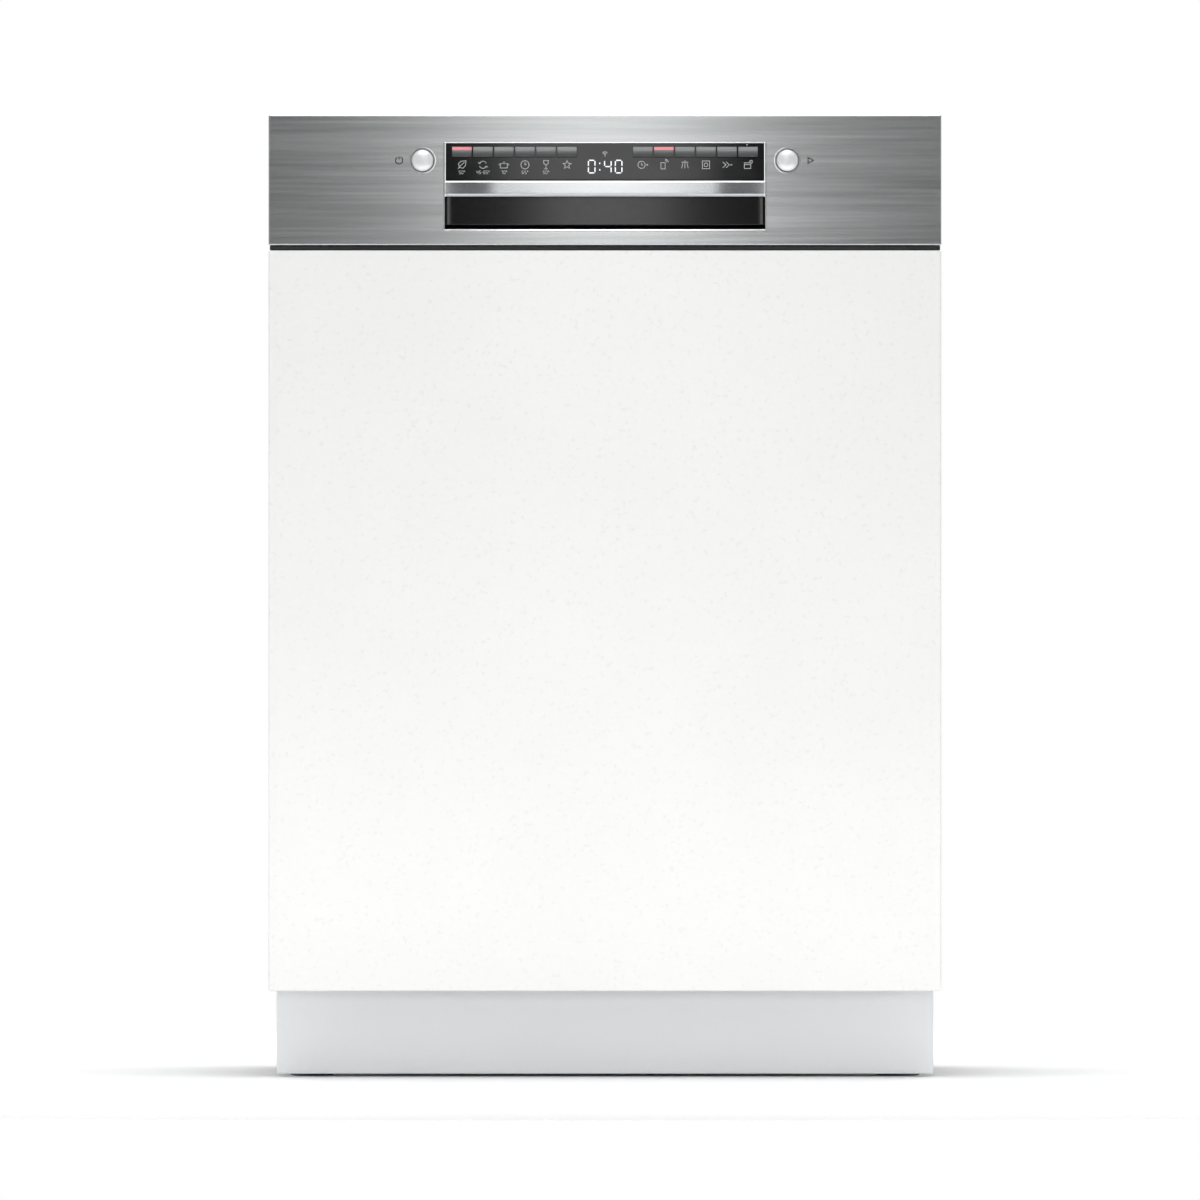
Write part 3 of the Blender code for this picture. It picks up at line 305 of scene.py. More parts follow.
def rod(name, radius, start, end, material, sides=24, edge=0.0):
    # a round bar with chamfered ends
    start, end = Vector(start), Vector(end)
    length, edge = (end - start).length, edge or radius * 0.15
    profile = [(0, 0), (radius - edge, 0), (radius, edge), (radius, length - edge), (radius - edge, length),
        (0, length)]
    return lathe(name, profile, start, end - start, material, sides)


def joinPieces(name, pieces):
    # one piece from several, keeping each one's material
    bm = bmesh.new()
    slots = []
    for piece in pieces:
        start = len(bm.faces)
        bm.from_mesh(piece.data)
        bm.faces.ensure_lookup_table()
        for face in bm.faces[start:]:
            material = piece.data.materials[face.material_index]
            if material not in slots:
                slots.append(material)
            face.material_index = slots.index(material)
    for piece in pieces:
        bpy.data.objects.remove(piece)
    made = meshObject(name, bm, slots[0], smooth=0)
    for material in slots[1:]:
        made.data.materials.append(material)
    return made


def cadCopy(node, material, edge=0.0, segments=2, smooth=35, angle=35):
    # a merged copy of a frame part with its flat faces whole again and its edges broken
    bm = bmesh.new()
    bm.from_mesh(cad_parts[node].data)
    bmesh.ops.remove_doubles(bm, verts=bm.verts, dist=1e-5)
    bmesh.ops.dissolve_limit(bm, angle_limit=math.radians(0.5), verts=bm.verts, edges=bm.edges)
    for face in bm.faces:
        face.material_index = 0
    made = meshObject(node, bm, material, smooth)
    return bevelled(made, edge, segments, angle) if edge else made


def place(piece, body, cadNodes=()):
    # rides the piece on its body and hides what it stands for
    level = piece.modifiers.new("normals", "WEIGHTED_NORMAL")
    level.keep_sharp, level.weight = True, 100
    settle(piece, 0)
    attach(piece, body)
    if cadNodes:
        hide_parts(*([cadNodes] if isinstance(cadNodes, str) else cadNodes))
    return piece


def newTree(name, sockets):
    tree = bpy.data.node_groups.new(name, "GeometryNodeTree")
    tree.interface.new_socket("Geometry", in_out="INPUT", socket_type="NodeSocketGeometry")
    for label, kind in sockets:
        tree.interface.new_socket(label, in_out="INPUT", socket_type=kind)
    tree.interface.new_socket("Geometry", in_out="OUTPUT", socket_type="NodeSocketGeometry")
    return tree, addNode(tree, "NodeGroupInput").outputs


def endTree(tree, geometry, material):
    whole = addNode(tree, "GeometryNodeRealizeInstances", {0: geometry}).outputs[0]
    painted = addNode(tree, "GeometryNodeSetMaterial", {"Geometry": whole, "Material": material}).outputs[0]
    addNode(tree, "NodeGroupOutput", {0: painted})


def runTree(tree, piece, values, smooth=40):
    change = piece.modifiers.new(tree.name, "NODES")
    change.node_group = tree
    for item in tree.interface.items_tree:
        if item.in_out == "INPUT" and item.name in values:
            change[item.identifier] = values[item.name]
    piece.update_tag()
    return settle(piece, smooth)


def makeWireTree():
    # round wire along every chain of edges, bent with a radius at each corner
    sockets = [("Radius", "NodeSocketFloat"), ("Bend", "NodeSocketFloat"), ("Sides", "NodeSocketInt"),
        ("Material", "NodeSocketMaterial")]
    tree, given = newTree("bentWire", sockets)
    line = addNode(tree, "GeometryNodeMeshToCurve", {0: given["Geometry"]}).outputs[0]
    values = {"Curve": line, "Radius": given["Bend"], "Limit Radius": True, "Count": 5}
    bent = addNode(tree, "GeometryNodeFilletCurve", values, mode="POLY").outputs[0]
    ring = addNode(tree, "GeometryNodeCurvePrimitiveCircle",
        {"Resolution": given["Sides"], "Radius": given["Radius"]}).outputs[0]
    tube = addNode(tree, "GeometryNodeCurveToMesh", {"Curve": bent, "Profile Curve": ring,
        "Fill Caps": True}).outputs[0]
    endTree(tree, tube, given["Material"])
    return tree


def makeScatterTree():
    # one small part on every point, its z along "aim" and its x along "along"
    sockets = [("Part", "NodeSocketObject"), ("Scale", "NodeSocketFloat"), ("Material", "NodeSocketMaterial")]
    tree, given = newTree("partsOnPoints", sockets)
    aim = addNode(tree, "GeometryNodeInputNamedAttribute", {"Name": "aim"}, data_type="FLOAT_VECTOR").outputs[0]
    along = addNode(tree, "GeometryNodeInputNamedAttribute", {"Name": "along"}, data_type="FLOAT_VECTOR").outputs[0]
    values = {"Primary Axis": aim, "Secondary Axis": along}
    turn = addNode(tree, "FunctionNodeAxesToRotation", values, primary_axis="Z", secondary_axis="X").outputs[0]
    part = addNode(tree, "GeometryNodeObjectInfo", {"Object": given["Part"]}).outputs["Geometry"]
    values = {"Points": given["Geometry"], "Instance": part, "Rotation": turn, "Scale": given["Scale"]}
    spread = addNode(tree, "GeometryNodeInstanceOnPoints", values).outputs[0]
    endTree(tree, spread, given["Material"])
    return tree


def makeSpringTree():
    # a closed-wound helical spring standing on the origin, then turned and moved to its place
    sockets = [("Coil", "NodeSocketFloat"), ("Wire", "NodeSocketFloat"), ("Turns", "NodeSocketFloat"),
        ("Length", "NodeSocketFloat"),
               ("Turn", "NodeSocketVector"), ("Place", "NodeSocketVector"), ("Material", "NodeSocketMaterial")]
    tree, given = newTree("coilSpring", sockets)
    values = {"Resolution": 20, "Rotations": given["Turns"], "Start Radius": given["Coil"],
        "End Radius": given["Coil"], "Height": given["Length"]}
    helix = addNode(tree, "GeometryNodeCurveSpiral", values).outputs[0]
    ring = addNode(tree, "GeometryNodeCurvePrimitiveCircle", {"Resolution": 8, "Radius": given["Wire"]}).outputs[0]
    tube = addNode(tree, "GeometryNodeCurveToMesh", {"Curve": helix, "Profile Curve": ring,
        "Fill Caps": True}).outputs[0]
    values = {"Geometry": tube, "Translation": given["Place"], "Rotation": given["Turn"]}
    endTree(tree, addNode(tree, "GeometryNodeTransform", values).outputs[0], given["Material"])
    return tree


wireTree, scatterTree, springTree = makeWireTree(), makeScatterTree(), makeSpringTree()


def bentWires(name, chains, radius, bend, material, sides=10):
    # chains are lists of points; a chain whose ends meet is a ring
    bm = bmesh.new()
    for chain in chains:
        closed = (Vector(chain[0]) - Vector(chain[-1])).length < 1e-6
        verts = [bm.verts.new(point) for point in (chain[:-1] if closed else chain)]
        for a, b in zip(verts, verts[1:] + (verts[:1] if closed else [])):
            bm.edges.new((a, b))
    piece = meshObject(name, bm, material, 0)
    return runTree(wireTree, piece, {"Radius": radius, "Bend": bend, "Sides": sides, "Material": material}, 50)


def scattered(name, part, spots, material, scale=1.0, smooth=40):
    # spots are (place, aim, along)
    mesh = bpy.data.meshes.new(name)
    mesh.from_pydata([spot[0] for spot in spots], [], [])
    for index, label in ((1, "aim"), (2, "along")):
        values = mesh.attributes.new(label, "FLOAT_VECTOR", "POINT")
        values.data.foreach_set("vector", [v for spot in spots for v in spot[index]])
    piece = bpy.data.objects.new(name, mesh)
    scene.collection.objects.link(piece)
    runTree(scatterTree, piece, {"Part": part, "Scale": scale, "Material": material}, smooth)
    bpy.data.objects.remove(part)
    return piece


def screwHead(radius):
    # a flanged pan head with a six-lobe socket
    sides = 24
    angles = [2 * math.pi * k / sides for k in range(sides)]
    bm = bmesh.new()
    rings = []

    def turned(reaches, height):
        pairs = [(radius * reach, angle) for reach, angle in zip(reaches, angles)]
        return [bm.verts.new((r * math.cos(angle), r * math.sin(angle), radius * height)) for r, angle in pairs]

    for r, z in ((1.0, 0), (1.0, 0.14), (0.82, 0.24), (0.78, 0.30), (0.74, 0.52), (0.60, 0.66), (0.46, 0.70)):
        rings.append(turned([r] * sides, z))
    for depth in (0.70, 0.30):
        rings.append(turned([0.36 + 0.055 * math.cos(6 * angle) for angle in angles], depth))
    skin(bm, rings)
    bm.faces.new(rings[-1])
    return meshObject("screwHead", bm, zincPlate, 40)


def beadShape(length, width, height):
    # a pressed bead: a long low dome with round ends, lying along x
    bm = bmesh.new()
    rows, across = 24, 6
    grid = []
    for k in range(rows + 1):
        x = -length / 2 * math.cos(math.pi * k / rows)
        over = max(0.0, abs(x) - (length - width) / 2) / (width / 2)
        reach = math.sqrt(max(0.0, 1 - min(1.0, over) ** 2))
        line = []
        for j in range(across + 1):
            t = -1 + 2 * j / across
            line.append(bm.verts.new((x, t * width / 2 * reach,
                height * reach * math.cos(math.pi * t / 2) ** 1.2 - 0.1 * mm)))
        grid.append(line)
    for first, second in zip(grid, grid[1:]):
        for j in range(across):
            bm.faces.new((first[j], second[j], second[j + 1], first[j + 1]))
    bmesh.ops.remove_doubles(bm, verts=bm.verts, dist=1e-6)
    return meshObject("bead", bm, steelTub, 60)


def placeBeads(name, size, spots, material):
    # pressed beads on one of the cabinet's sheets; size is (length, width, height)
    place(scattered(name, beadShape(*size), spots, material, 1.0, 60), "cabinet")


studio = {
    "distance": 20.0, "frameWidth": 1066.6 * mm, "lookX": -4.4 * mm, "lookZ": 424.7 * mm,
    "sky": 0.42, "frontSky": 0.20, "strip": 1.6, "low": 4.0, "front": 4.0, "high": 15.0, "top": 66.0, "rear": 42.0,
    "floorRadius": 1.9,
}


def makeStudio():
    front = cadBounds[0][1]
    data = bpy.data.cameras.new("camera")
    data.sensor_width = 36
    data.lens = 36 * studio["distance"] / studio["frameWidth"]
    data.clip_start, data.clip_end = 0.5, 200
    camera = bpy.data.objects.new("camera", data)
    camera.location = (studio["lookX"], front - studio["distance"], studio["lookZ"])
    camera.rotation_euler = (math.pi / 2, 0, 0)
    scene.collection.objects.link(camera)
    scene.camera = camera

    world = bpy.data.worlds.new("studio")
    world.use_nodes = True
    scene.world = world
    tree = world.node_tree
    tree.nodes.clear()
    seen = addNode(tree, "ShaderNodeLightPath").outputs["Is Camera Ray"]
    white = addNode(tree, "ShaderNodeBackground", {"Color": (1, 1, 1, 1), "Strength": 1.0}).outputs[0]
    way = addNode(tree, "ShaderNodeSeparateXYZ", {0: addNode(tree,
        "ShaderNodeTexCoord").outputs["Generated"]}).outputs[1]
    # a darker room in front, which the steel panel mirrors
    span = {"Value": way, "From Min": -0.90, "From Max": -0.55, "To Min": studio["frontSky"],
        "To Max": studio["sky"]}
    level = addNode(tree, "ShaderNodeMapRange", span).outputs[0]
    soft = addNode(tree, "ShaderNodeBackground", {"Color": hexColour("#f6f7f8"), "Strength": level}).outputs[0]
    mixed = addNode(tree, "ShaderNodeMixShader", {0: seen, 1: soft, 2: white}).outputs[0]
    addNode(tree, "ShaderNodeOutputWorld", {"Surface": mixed})

    def softbox(name, spot, target, width, height, power):
        light = bpy.data.lights.new(name, "AREA")
        light.shape, light.size, light.size_y, light.energy = "RECTANGLE", width, height, power
        made = bpy.data.objects.new(name, light)
        made.location = spot
        made.rotation_euler = (Vector(target) - Vector(spot)).to_track_quat("-Z", "Y").to_euler()
        made.visible_camera = False
        scene.collection.objects.link(made)

    softbox("frontStrip", (0, -1.6, 1.10), (0, -0.3, 0.80), 0.20, 1.2, studio["strip"])
    softbox("lowLeft", (-2.5, -2.6, 1.0), (0, 0, 0.45), 1.8, 1.6, studio["low"])
    softbox("lowRight", (2.5, -2.6, 1.0), (0, 0, 0.45), 1.8, 1.6, studio["low"])
    softbox("lowFront", (0, -1.35, 0.12), (0, -0.2, 0.10), 2.2, 0.2, studio["front"])
    softbox("rear", (0, 2.9, 1.9), (0, 0.7, 0.2), 3.0, 1.4, studio["rear"])
    softbox("highFront", (0, -1.6, 2.3), (0, -0.3, 0.75), 1.6, 0.6, studio["high"])
    softbox("top", (0, 0.2, 3.2), (0, 0, 0.4), 3.0, 3.0, studio["top"])

    bm = bmesh.new()
    bmesh.ops.create_circle(bm, cap_ends=True, segments=96, radius=studio["floorRadius"])
    floorPaint = finish("paleFloor", ("#fcfcfc", "#fdfdfd"), (0.6, 0.7), (5, 5, 5), (20, 20, 20), (0.02, 0.0002))
    floor = meshObject("floor", bm, floorPaint, 0)
    floor.location.z = -0.5 * mm
    scene.view_settings.view_transform = "Standard"
    print("studio ready")


makeStudio()


fasciaDims = {
    "edge": 1.4 * mm, "wall": 1.0 * mm, "depth": 19 * mm, "buttonGap": 0.5 * mm, "trim": 2.1 * mm,
    "windowHalf": 143.5 * mm, "cut": 10 * mm, "play": 0.05 * mm,
}


def makeFascia():
    low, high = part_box("fascia")
    lensTop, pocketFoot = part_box("control_window")[1].z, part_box("handle_pocket")[0].z
    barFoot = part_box("handle_bar")[0].z
    wall, back, cut, play = fasciaDims["wall"], low.y + fasciaDims["depth"], fasciaDims["cut"], fasciaDims["play"]
    sheet = boxPiece("steelFascia", low, (high.x, back, high.z), steelFront, fasciaDims["edge"], 4)
    hollow = boxPiece("hollow", (low.x + wall, low.y + wall, low.z + wall),
        (high.x - wall, back + cut, high.z - wall), steelFront)
    windowLow = Vector((-fasciaDims["windowHalf"], low.y - cut, pocketFoot + 1.6 * mm))
    windowHigh = Vector((fasciaDims["windowHalf"], low.y + cut, lensTop + 1.0 * mm))
    cutters = [hollow, boxPiece("window", windowLow, windowHigh, steelFront)]
    for node in ("power_button", "start_button"):
        a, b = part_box(node)
        x, z = (a.x + b.x) / 2, (a.z + b.z) / 2
        cutters.append(rod("hole", (b.x - a.x) / 2 + fasciaDims["buttonGap"], (x, low.y - cut, z),
            (x, low.y + cut, z), steelFront, 64))
    carve(sheet, *cutters)
    topLow, topHigh = (low.x + wall, back - 6 * mm, high.z - wall), (high.x - wall, high.y, high.z)
    place(joinPieces("steelFascia", [sheet, boxPiece("fasciaTop", topLow, topHigh, steelFront, 0.3 * mm, 2)]),
        "door", "fascia")

    # polished edging of the window: wide beside the display and the bar, narrow above and below
    face, deep, outX = low.y + 0.1 * mm, low.y + 1.3 * mm, fasciaDims["windowHalf"] - play
    inX, bottom, top = outX - fasciaDims["trim"], windowLow.z + play, windowHigh.z - play
    bars = []
    for side in (-1, 1):
        xs = sorted((side * inX, side * outX))
        bars.append(boxPiece("trimSide", (xs[0], face, barFoot + 0.2 * mm), (xs[1], low.y + 7 * mm, top),
            steelTrim, 0.5 * mm, 3))
        xs = sorted((side * (outX - 0.9 * mm), side * outX))
        bars.append(boxPiece("trimLow", (xs[0], face, bottom), (xs[1], deep, barFoot), steelTrim, 0.3 * mm, 2))
    bars.append(boxPiece("trimTop", (-outX, face, lensTop + play), (outX, deep, top), steelTrim, 0.35 * mm, 2))
    bars.append(boxPiece("trimFoot", (-outX, face, bottom), (outX, deep, pocketFoot + 3.3 * mm), steelTrim,
        0.5 * mm, 3))
    place(joinPieces("windowTrim", bars), "door")
    print("fascia and window trim")


keyDims = {"window": 2.7 * mm, "round": 0.35 * mm}


def makeKeys():
    # each key swells towards you; the sloped window on its upper edge is lit by its own diode
    lit = {"programme_key_1", "option_key_2"}
    for node in [f"{word}_{k}" for word in ("programme_key", "option_key") for k in range(1, 7)]:
        low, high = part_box(node)
        front, split = low.y, high.z - keyDims["window"]
        profile = [(high.y, low.z), (front + 1.3 * mm, low.z), (front + 0.9 * mm, low.z + 0.2 * mm)]
        for k in range(9):  # the swell
            t = k / 8
            profile.append((front + 0.55 * mm * (2.1 * t - 0.9) ** 2,
                low.z + 0.5 * mm + t * (split - low.z - 0.5 * mm)))
        profile += [(front + 0.95 * mm, split + 0.1 * mm), (front + 1.15 * mm, high.z - 0.3 * mm)]
        profile += [(front + 1.4 * mm, high.z), (high.y, high.z)]
        bm = bmesh.new()
        rings = []
        for x, pull in ((low.x, keyDims["round"]), (low.x + keyDims["round"], 0), (high.x - keyDims["round"], 0),
                (high.x, keyDims["round"])):
            rings.append([bm.verts.new((x, y + (pull if y < front + 2 * mm else 0), z)) for y, z in profile])
        count = len(profile)
        for index, face in enumerate(skin(bm, rings)):  # the sloped window's three faces
            face.material_index = 1 if count - 5 <= index % count < count - 2 else 0
        bm.faces.new(rings[0][::-1])
        bm.faces.new(rings[-1])
        bmesh.ops.recalc_face_normals(bm, faces=bm.faces)
        key = meshObject(camel(node), bm, keyPaintedShade, 50)
        key.data.materials.append(keyLit if node in lit else keyPaintedShade)
        place(key, node, node)
    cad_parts["control_window"].data.materials[0] = blackAcrylic
    print("keys")


gripDims = {"swell": 2.2 * mm, "flatHalf": 98 * mm, "stations": 60, "scoopWall": 1.2 * mm, "scoopBend": 7 * mm,
    "scoopEnd": 2 * mm, "scoopBow": 0.06}


def makeGripBar():
    low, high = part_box("handle_bar")
    half, front, back = high.x, low.y, high.y
    # depth behind the front and height, from the upper back edge round the front to the lower back edge
    profile = [(back - front, high.z), (4.2 * mm, high.z), (2.6 * mm, high.z - 0.15 * mm),
        (1.3 * mm, high.z - 0.6 * mm)]
    profile += [(0.5 * mm, high.z - 1.4 * mm), (0.1 * mm, high.z - 2.6 * mm), (0, high.z - 4.5 * mm),
        (0, low.z + 5.0 * mm)]
    profile += [(0.05 * mm, low.z + 3.0 * mm), (0.25 * mm, low.z + 2.3 * mm), (1.7 * mm, low.z + 0.5 * mm),
        (2.6 * mm, low.z)]
    profile.append((back - front, low.z))
    bm = bmesh.new()
    rings = []
    for k in range(gripDims["stations"] + 1):
        x = -half * math.cos(math.pi * k / gripDims["stations"])
        past = max(0.0, (abs(x) - gripDims["flatHalf"]) / (half - gripDims["flatHalf"]))
        fall = gripDims["swell"] * (1 - math.cos(math.pi * past)) / 2
        rings.append([bm.verts.new((x, min(front + d + (fall if d < 5 * mm else 0), back), z)) for d, z in profile])
    skin(bm, rings)
    bm.faces.new(rings[0][::-1])
    bm.faces.new(rings[-1])
    bmesh.ops.recalc_face_normals(bm, faces=bm.faces)
    place(meshObject("gripBar", bm, satinChrome, 50), "door", "handle_bar")


def makeGripPocket():
    # the scoop: a short floor, a bend and a tall back wall that goes up behind the bar, with rounded ends
    low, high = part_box("handle_pocket")
    wall, bend = 3.4 * mm, gripDims["scoopBend"]
    left, right = low.x + wall - 0.4 * mm, high.x - wall + 0.4 * mm
    front, back, floor, roof = low.y + 0.2 * mm, high.y - wall, low.z + wall, high.z - wall
    profile = [(front, floor), (back - bend - 12 * mm, floor)]
    for k in range(11):
        angle = math.pi / 2 * k / 10
        profile.append((back - bend + bend * math.sin(angle), floor + bend * (1 - math.cos(angle))))
    profile += [(back, roof - 3 * mm), (back - 3 * mm, roof), (low.y + 8.5 * mm, roof)]
    bm = bmesh.new()
    rings = []
    for k in range(41):
        x = left + (right - left) * (1 - math.cos(math.pi * k / 40)) / 2
        near = max(0.0, 1 - min(x - left, right - x) / gripDims["scoopEnd"])
        bow = 1 - gripDims["scoopBow"] * (1 - (x / right) ** 2)
        depth = max(0.02, math.sqrt(1 - near ** 2) if near < 1 else 0) * bow
        rings.append([bm.verts.new((x, front + (y - front) * depth, z)) for y, z in profile])
    for first, second in zip(rings, rings[1:]):
        for k in range(len(profile) - 1):
            bm.faces.new((first[k], second[k], second[k + 1], first[k + 1]))
    made = meshObject("gripPocket", bm, blackPolished, 60)
    shell = made.modifiers.new("shell", "SOLIDIFY")
    shell.thickness, shell.offset = gripDims["scoopWall"], -1
    settle(made, 60)
    lipLow, lipHigh = (low.x + 0.5 * mm, front, low.z + 0.2 * mm), (high.x - 0.5 * mm, front + 2 * mm,
        low.z + wall - 0.1 * mm)
    lip = boxPiece("pocketLip", lipLow, lipHigh, blackSatin, 0.2 * mm, 2)
    place(joinPieces("gripPocket", [made, lip]), "door", "handle_pocket")
    print("grip bar and pocket")


buttonDims = {"dome": 4.1 * mm, "ringOut": 1.7 * mm}


def makeButtons():
    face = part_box("fascia")[0].y
    for node in ("power_button", "start_button"):
        low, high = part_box(node)
        x, z, radius, depth = (low.x + high.x) / 2, (low.z + high.z) / 2, (high.x - low.x) / 2, high.y - low.y
        dome = [(0, depth)]
        for k in range(1, 13):
            angle = math.pi / 2 * k / 12
            dome.append((radius * math.sin(angle), depth - buttonDims["dome"] * (1 - math.cos(angle))))
        dome += [(radius, 0.4 * mm), (radius - 0.4 * mm, 0), (0, 0)]
        place(lathe(camel(node), dome, (x, high.y, z), forward, pearlSilver, 64), node, node)
        inner, outer = radius + 0.35 * mm, radius + buttonDims["ringOut"]
        profile = [(inner, -3 * mm), (inner, -1.2 * mm), (inner + 0.7 * mm, -0.3 * mm),
            (outer - 0.25 * mm, 0.14 * mm), (outer, 0.12 * mm)]
        profile += [(outer, -0.1 * mm), (inner + 0.5 * mm, -3 * mm), (inner, -3 * mm)]
        ring = lathe(node.replace("_button", "Ring"), profile, (x, face, z), forward, steelTrim, 64)
        place(ring, "door")
    print("buttons")


makeFascia()
makeKeys()
makeGripBar()
makeGripPocket()
makeButtons()


def strokes(bm, lines, centre, size, width, face):
    # draws polylines as flat ribbons that face you; a line is in units of size round the centre
    for line in lines:
        closed = line[0] == line[-1] and len(line) > 2
        points = [Vector((centre[0] + x * size, centre[1] + z * size)) for x, z in (line[:-1] if closed else line)]
        count = len(points)
        pairs = []
        for k, point in enumerate(points):
            before = points[k - 1] if closed or k else None
            after = points[(k + 1) % count] if closed or k < count - 1 else None
            toHere = (point - before).normalized() if before is not None else (after - point).normalized()
            toNext = (after - point).normalized() if after is not None else toHere
            across = Vector((-(toHere + toNext).y, (toHere + toNext).x))
            across = across.normalized() if across.length > 1e-6 else Vector((-toHere.y, toHere.x))
            reach = width / 2 / max(0.45, abs(across.dot(Vector((-toNext.y, toNext.x)))))
            pairs.append((point + across * reach, point - across * reach))
        verts = [[bm.verts.new((p.x, face, p.y)) for p in pair] for pair in pairs]
        for k in range(count if closed else count - 1):
            a, b = verts[k], verts[(k + 1) % count]
            bm.faces.new((a[0], a[1], b[1], b[0]))


def circle(x=0, z=0, radius=0.5, start=0, end=360, count=20):
    steps = [math.radians(start + (end - start) * k / count) for k in range(count + 1)]
    points = [(x + radius * math.cos(a), z + radius * math.sin(a)) for a in steps]
    if end - start >= 360:
        points[-1] = points[0]
    return points


def rect(x, z, width, height):
    w, h = width / 2, height / 2
    return [(x - w, z - h), (x + w, z - h), (x + w, z + h), (x - w, z + h), (x - w, z - h)]


def star():
    points = [((0.22 if k % 2 else 0.52) * math.cos(math.pi / 2 + math.pi * k / 5),
               (0.22 if k % 2 else 0.52) * math.sin(math.pi / 2 + math.pi * k / 5)) for k in range(10)]
    return points + points[:1]


pictograms = {
    "leaf": [[(-0.45, -0.45), (-0.1, -0.05), (0.3, 0.3)],
             [(-0.25, -0.3), (-0.42, 0.1), (-0.1, 0.42), (0.48, 0.48), (0.42, -0.1), (0.1, -0.42), (-0.25, -0.3)]],
    "cycle": [circle(radius=0.42, start=20, end=160, count=12), circle(radius=0.42, start=200, end=340, count=12),
              [(-0.56, 0.3), (-0.40, 0.14), (-0.22, 0.28)], [(0.56, -0.3), (0.40, -0.14), (0.22, -0.28)]],
    "pot": [rect(0, -0.12, 0.8, 0.5), [(-0.5, 0.14), (0.5, 0.14)], [(-0.12, 0.3), (0.12, 0.3)],
    [(0.4, 0.0), (0.62, 0.0)], [(-0.4, 0.0), (-0.62, 0.0)]],
    "clock": [circle(radius=0.48), [(0, 0.28), (0, 0), (0.2, 0.1)]],
    "glass": [[(-0.28, 0.5), (-0.26, 0.15), (0, -0.05), (0.26, 0.15), (0.28, 0.5), (-0.28, 0.5)],
    [(0, -0.05), (0, -0.46)], [(-0.22, -0.48), (0.22, -0.48)]],
    "star": [star()],
    "delay": [circle(x=-0.15, radius=0.42), [(-0.15, 0.22), (-0.15, 0), (0.02, -0.06)],
    [(0.42, 0.1), (0.58, 0.0), (0.42, -0.1)]],
    "remote": [rect(-0.1, -0.12, 0.5, 0.72), circle(x=0.12, z=0.26, radius=0.24, start=5, end=85, count=6),
    circle(x=0.12, z=0.26, radius=0.40, start=5, end=85, count=6)],
    "spray": [[(-0.4, 0.3), (0.4, 0.3)], [(-0.25, 0.18), (-0.38, -0.4)], [(0, 0.18), (0, -0.4)],
    [(0.25, 0.18), (0.38, -0.4)], [(-0.12, 0.45), (0.12, 0.45)]],
    "dry": [rect(0, 0, 0.84, 0.9), circle(radius=0.22, count=14)],
    "fast": [[(-0.5, 0.34), (-0.12, 0), (-0.5, -0.34)], [(-0.1, 0.34), (0.28, 0), (-0.1, -0.34)],
    [(0.4, 0.0), (0.62, 0.0)], [(0.51, 0.11), (0.51, -0.11)]],
    "care": [rect(-0.06, -0.1, 0.74, 0.66), [(-0.43, 0.02), (0.31, 0.02)],
    circle(x=0.36, z=0.36, radius=0.16, count=12)],
    "power": [circle(radius=0.46, start=118, end=422, count=24), [(0, 0.56), (0, 0.12)]],
    "play": [[(-0.32, 0.42), (0.42, 0), (-0.32, -0.42), (-0.32, 0.42)]],
    "waves": [circle(z=-0.3, radius=r, start=50, end=130, count=8) for r in (0.24, 0.48, 0.72)] + [circle(z=-0.32,
    radius=0.05, count=6)],
}
segments = {  # the seven bars of a figure, in units of its height
    "a": [(-0.20, 0.5), (0.20, 0.5)], "b": [(0.26, 0.44), (0.26, 0.06)], "c": [(0.26, -0.06), (0.26, -0.44)],
    "d": [(-0.20, -0.5), (0.20, -0.5)],
    "e": [(-0.26, -0.06), (-0.26, -0.44)], "f": [(-0.26, 0.44), (-0.26, 0.06)], "g": [(-0.20, 0), (0.20, 0)],
}
figures = {"0": "abcdef", "4": "fgbc", "5": "afgcd", "6": "afgedc", "7": "abc"}
markDims = {
    "iconSize": 7.6 * mm, "stroke": 0.55 * mm, "figure": 2.8 * mm, "figureStroke": 0.40 * mm,
    "icons": 811.6 * mm, "figures": 804.9 * mm, "digit": 11.2 * mm, "digitStroke": 1.0 * mm,
    "waves": 821.0 * mm, "dot": 829.4 * mm, "digitLine": 810.0 * mm, "buttonLine": 815.5 * mm,
    "buttonStroke": 0.95 * mm,
}


def drawFigures(bm, text, x, z, height, stroke, face, pitch=0.82):
    widths = {":": 0.42, "-": 0.62, "°": 0.5}
    at = x - sum(widths.get(letter, pitch) for letter in text) * height / 2
    marks = {":": [[(0, 0.20), (0, 0.32)], [(0, -0.32), (0, -0.20)]], "-": [[(-0.18, 0), (0.18, 0)]],
        "°": [circle(z=0.34, radius=0.14, count=8)]}
    for letter in text:
        step = widths.get(letter, pitch) * height
        lines = marks.get(letter) or [segments[bar] for bar in figures[letter]]
        strokes(bm, lines, (at + step / 2, z), height, stroke, face)
        at += step


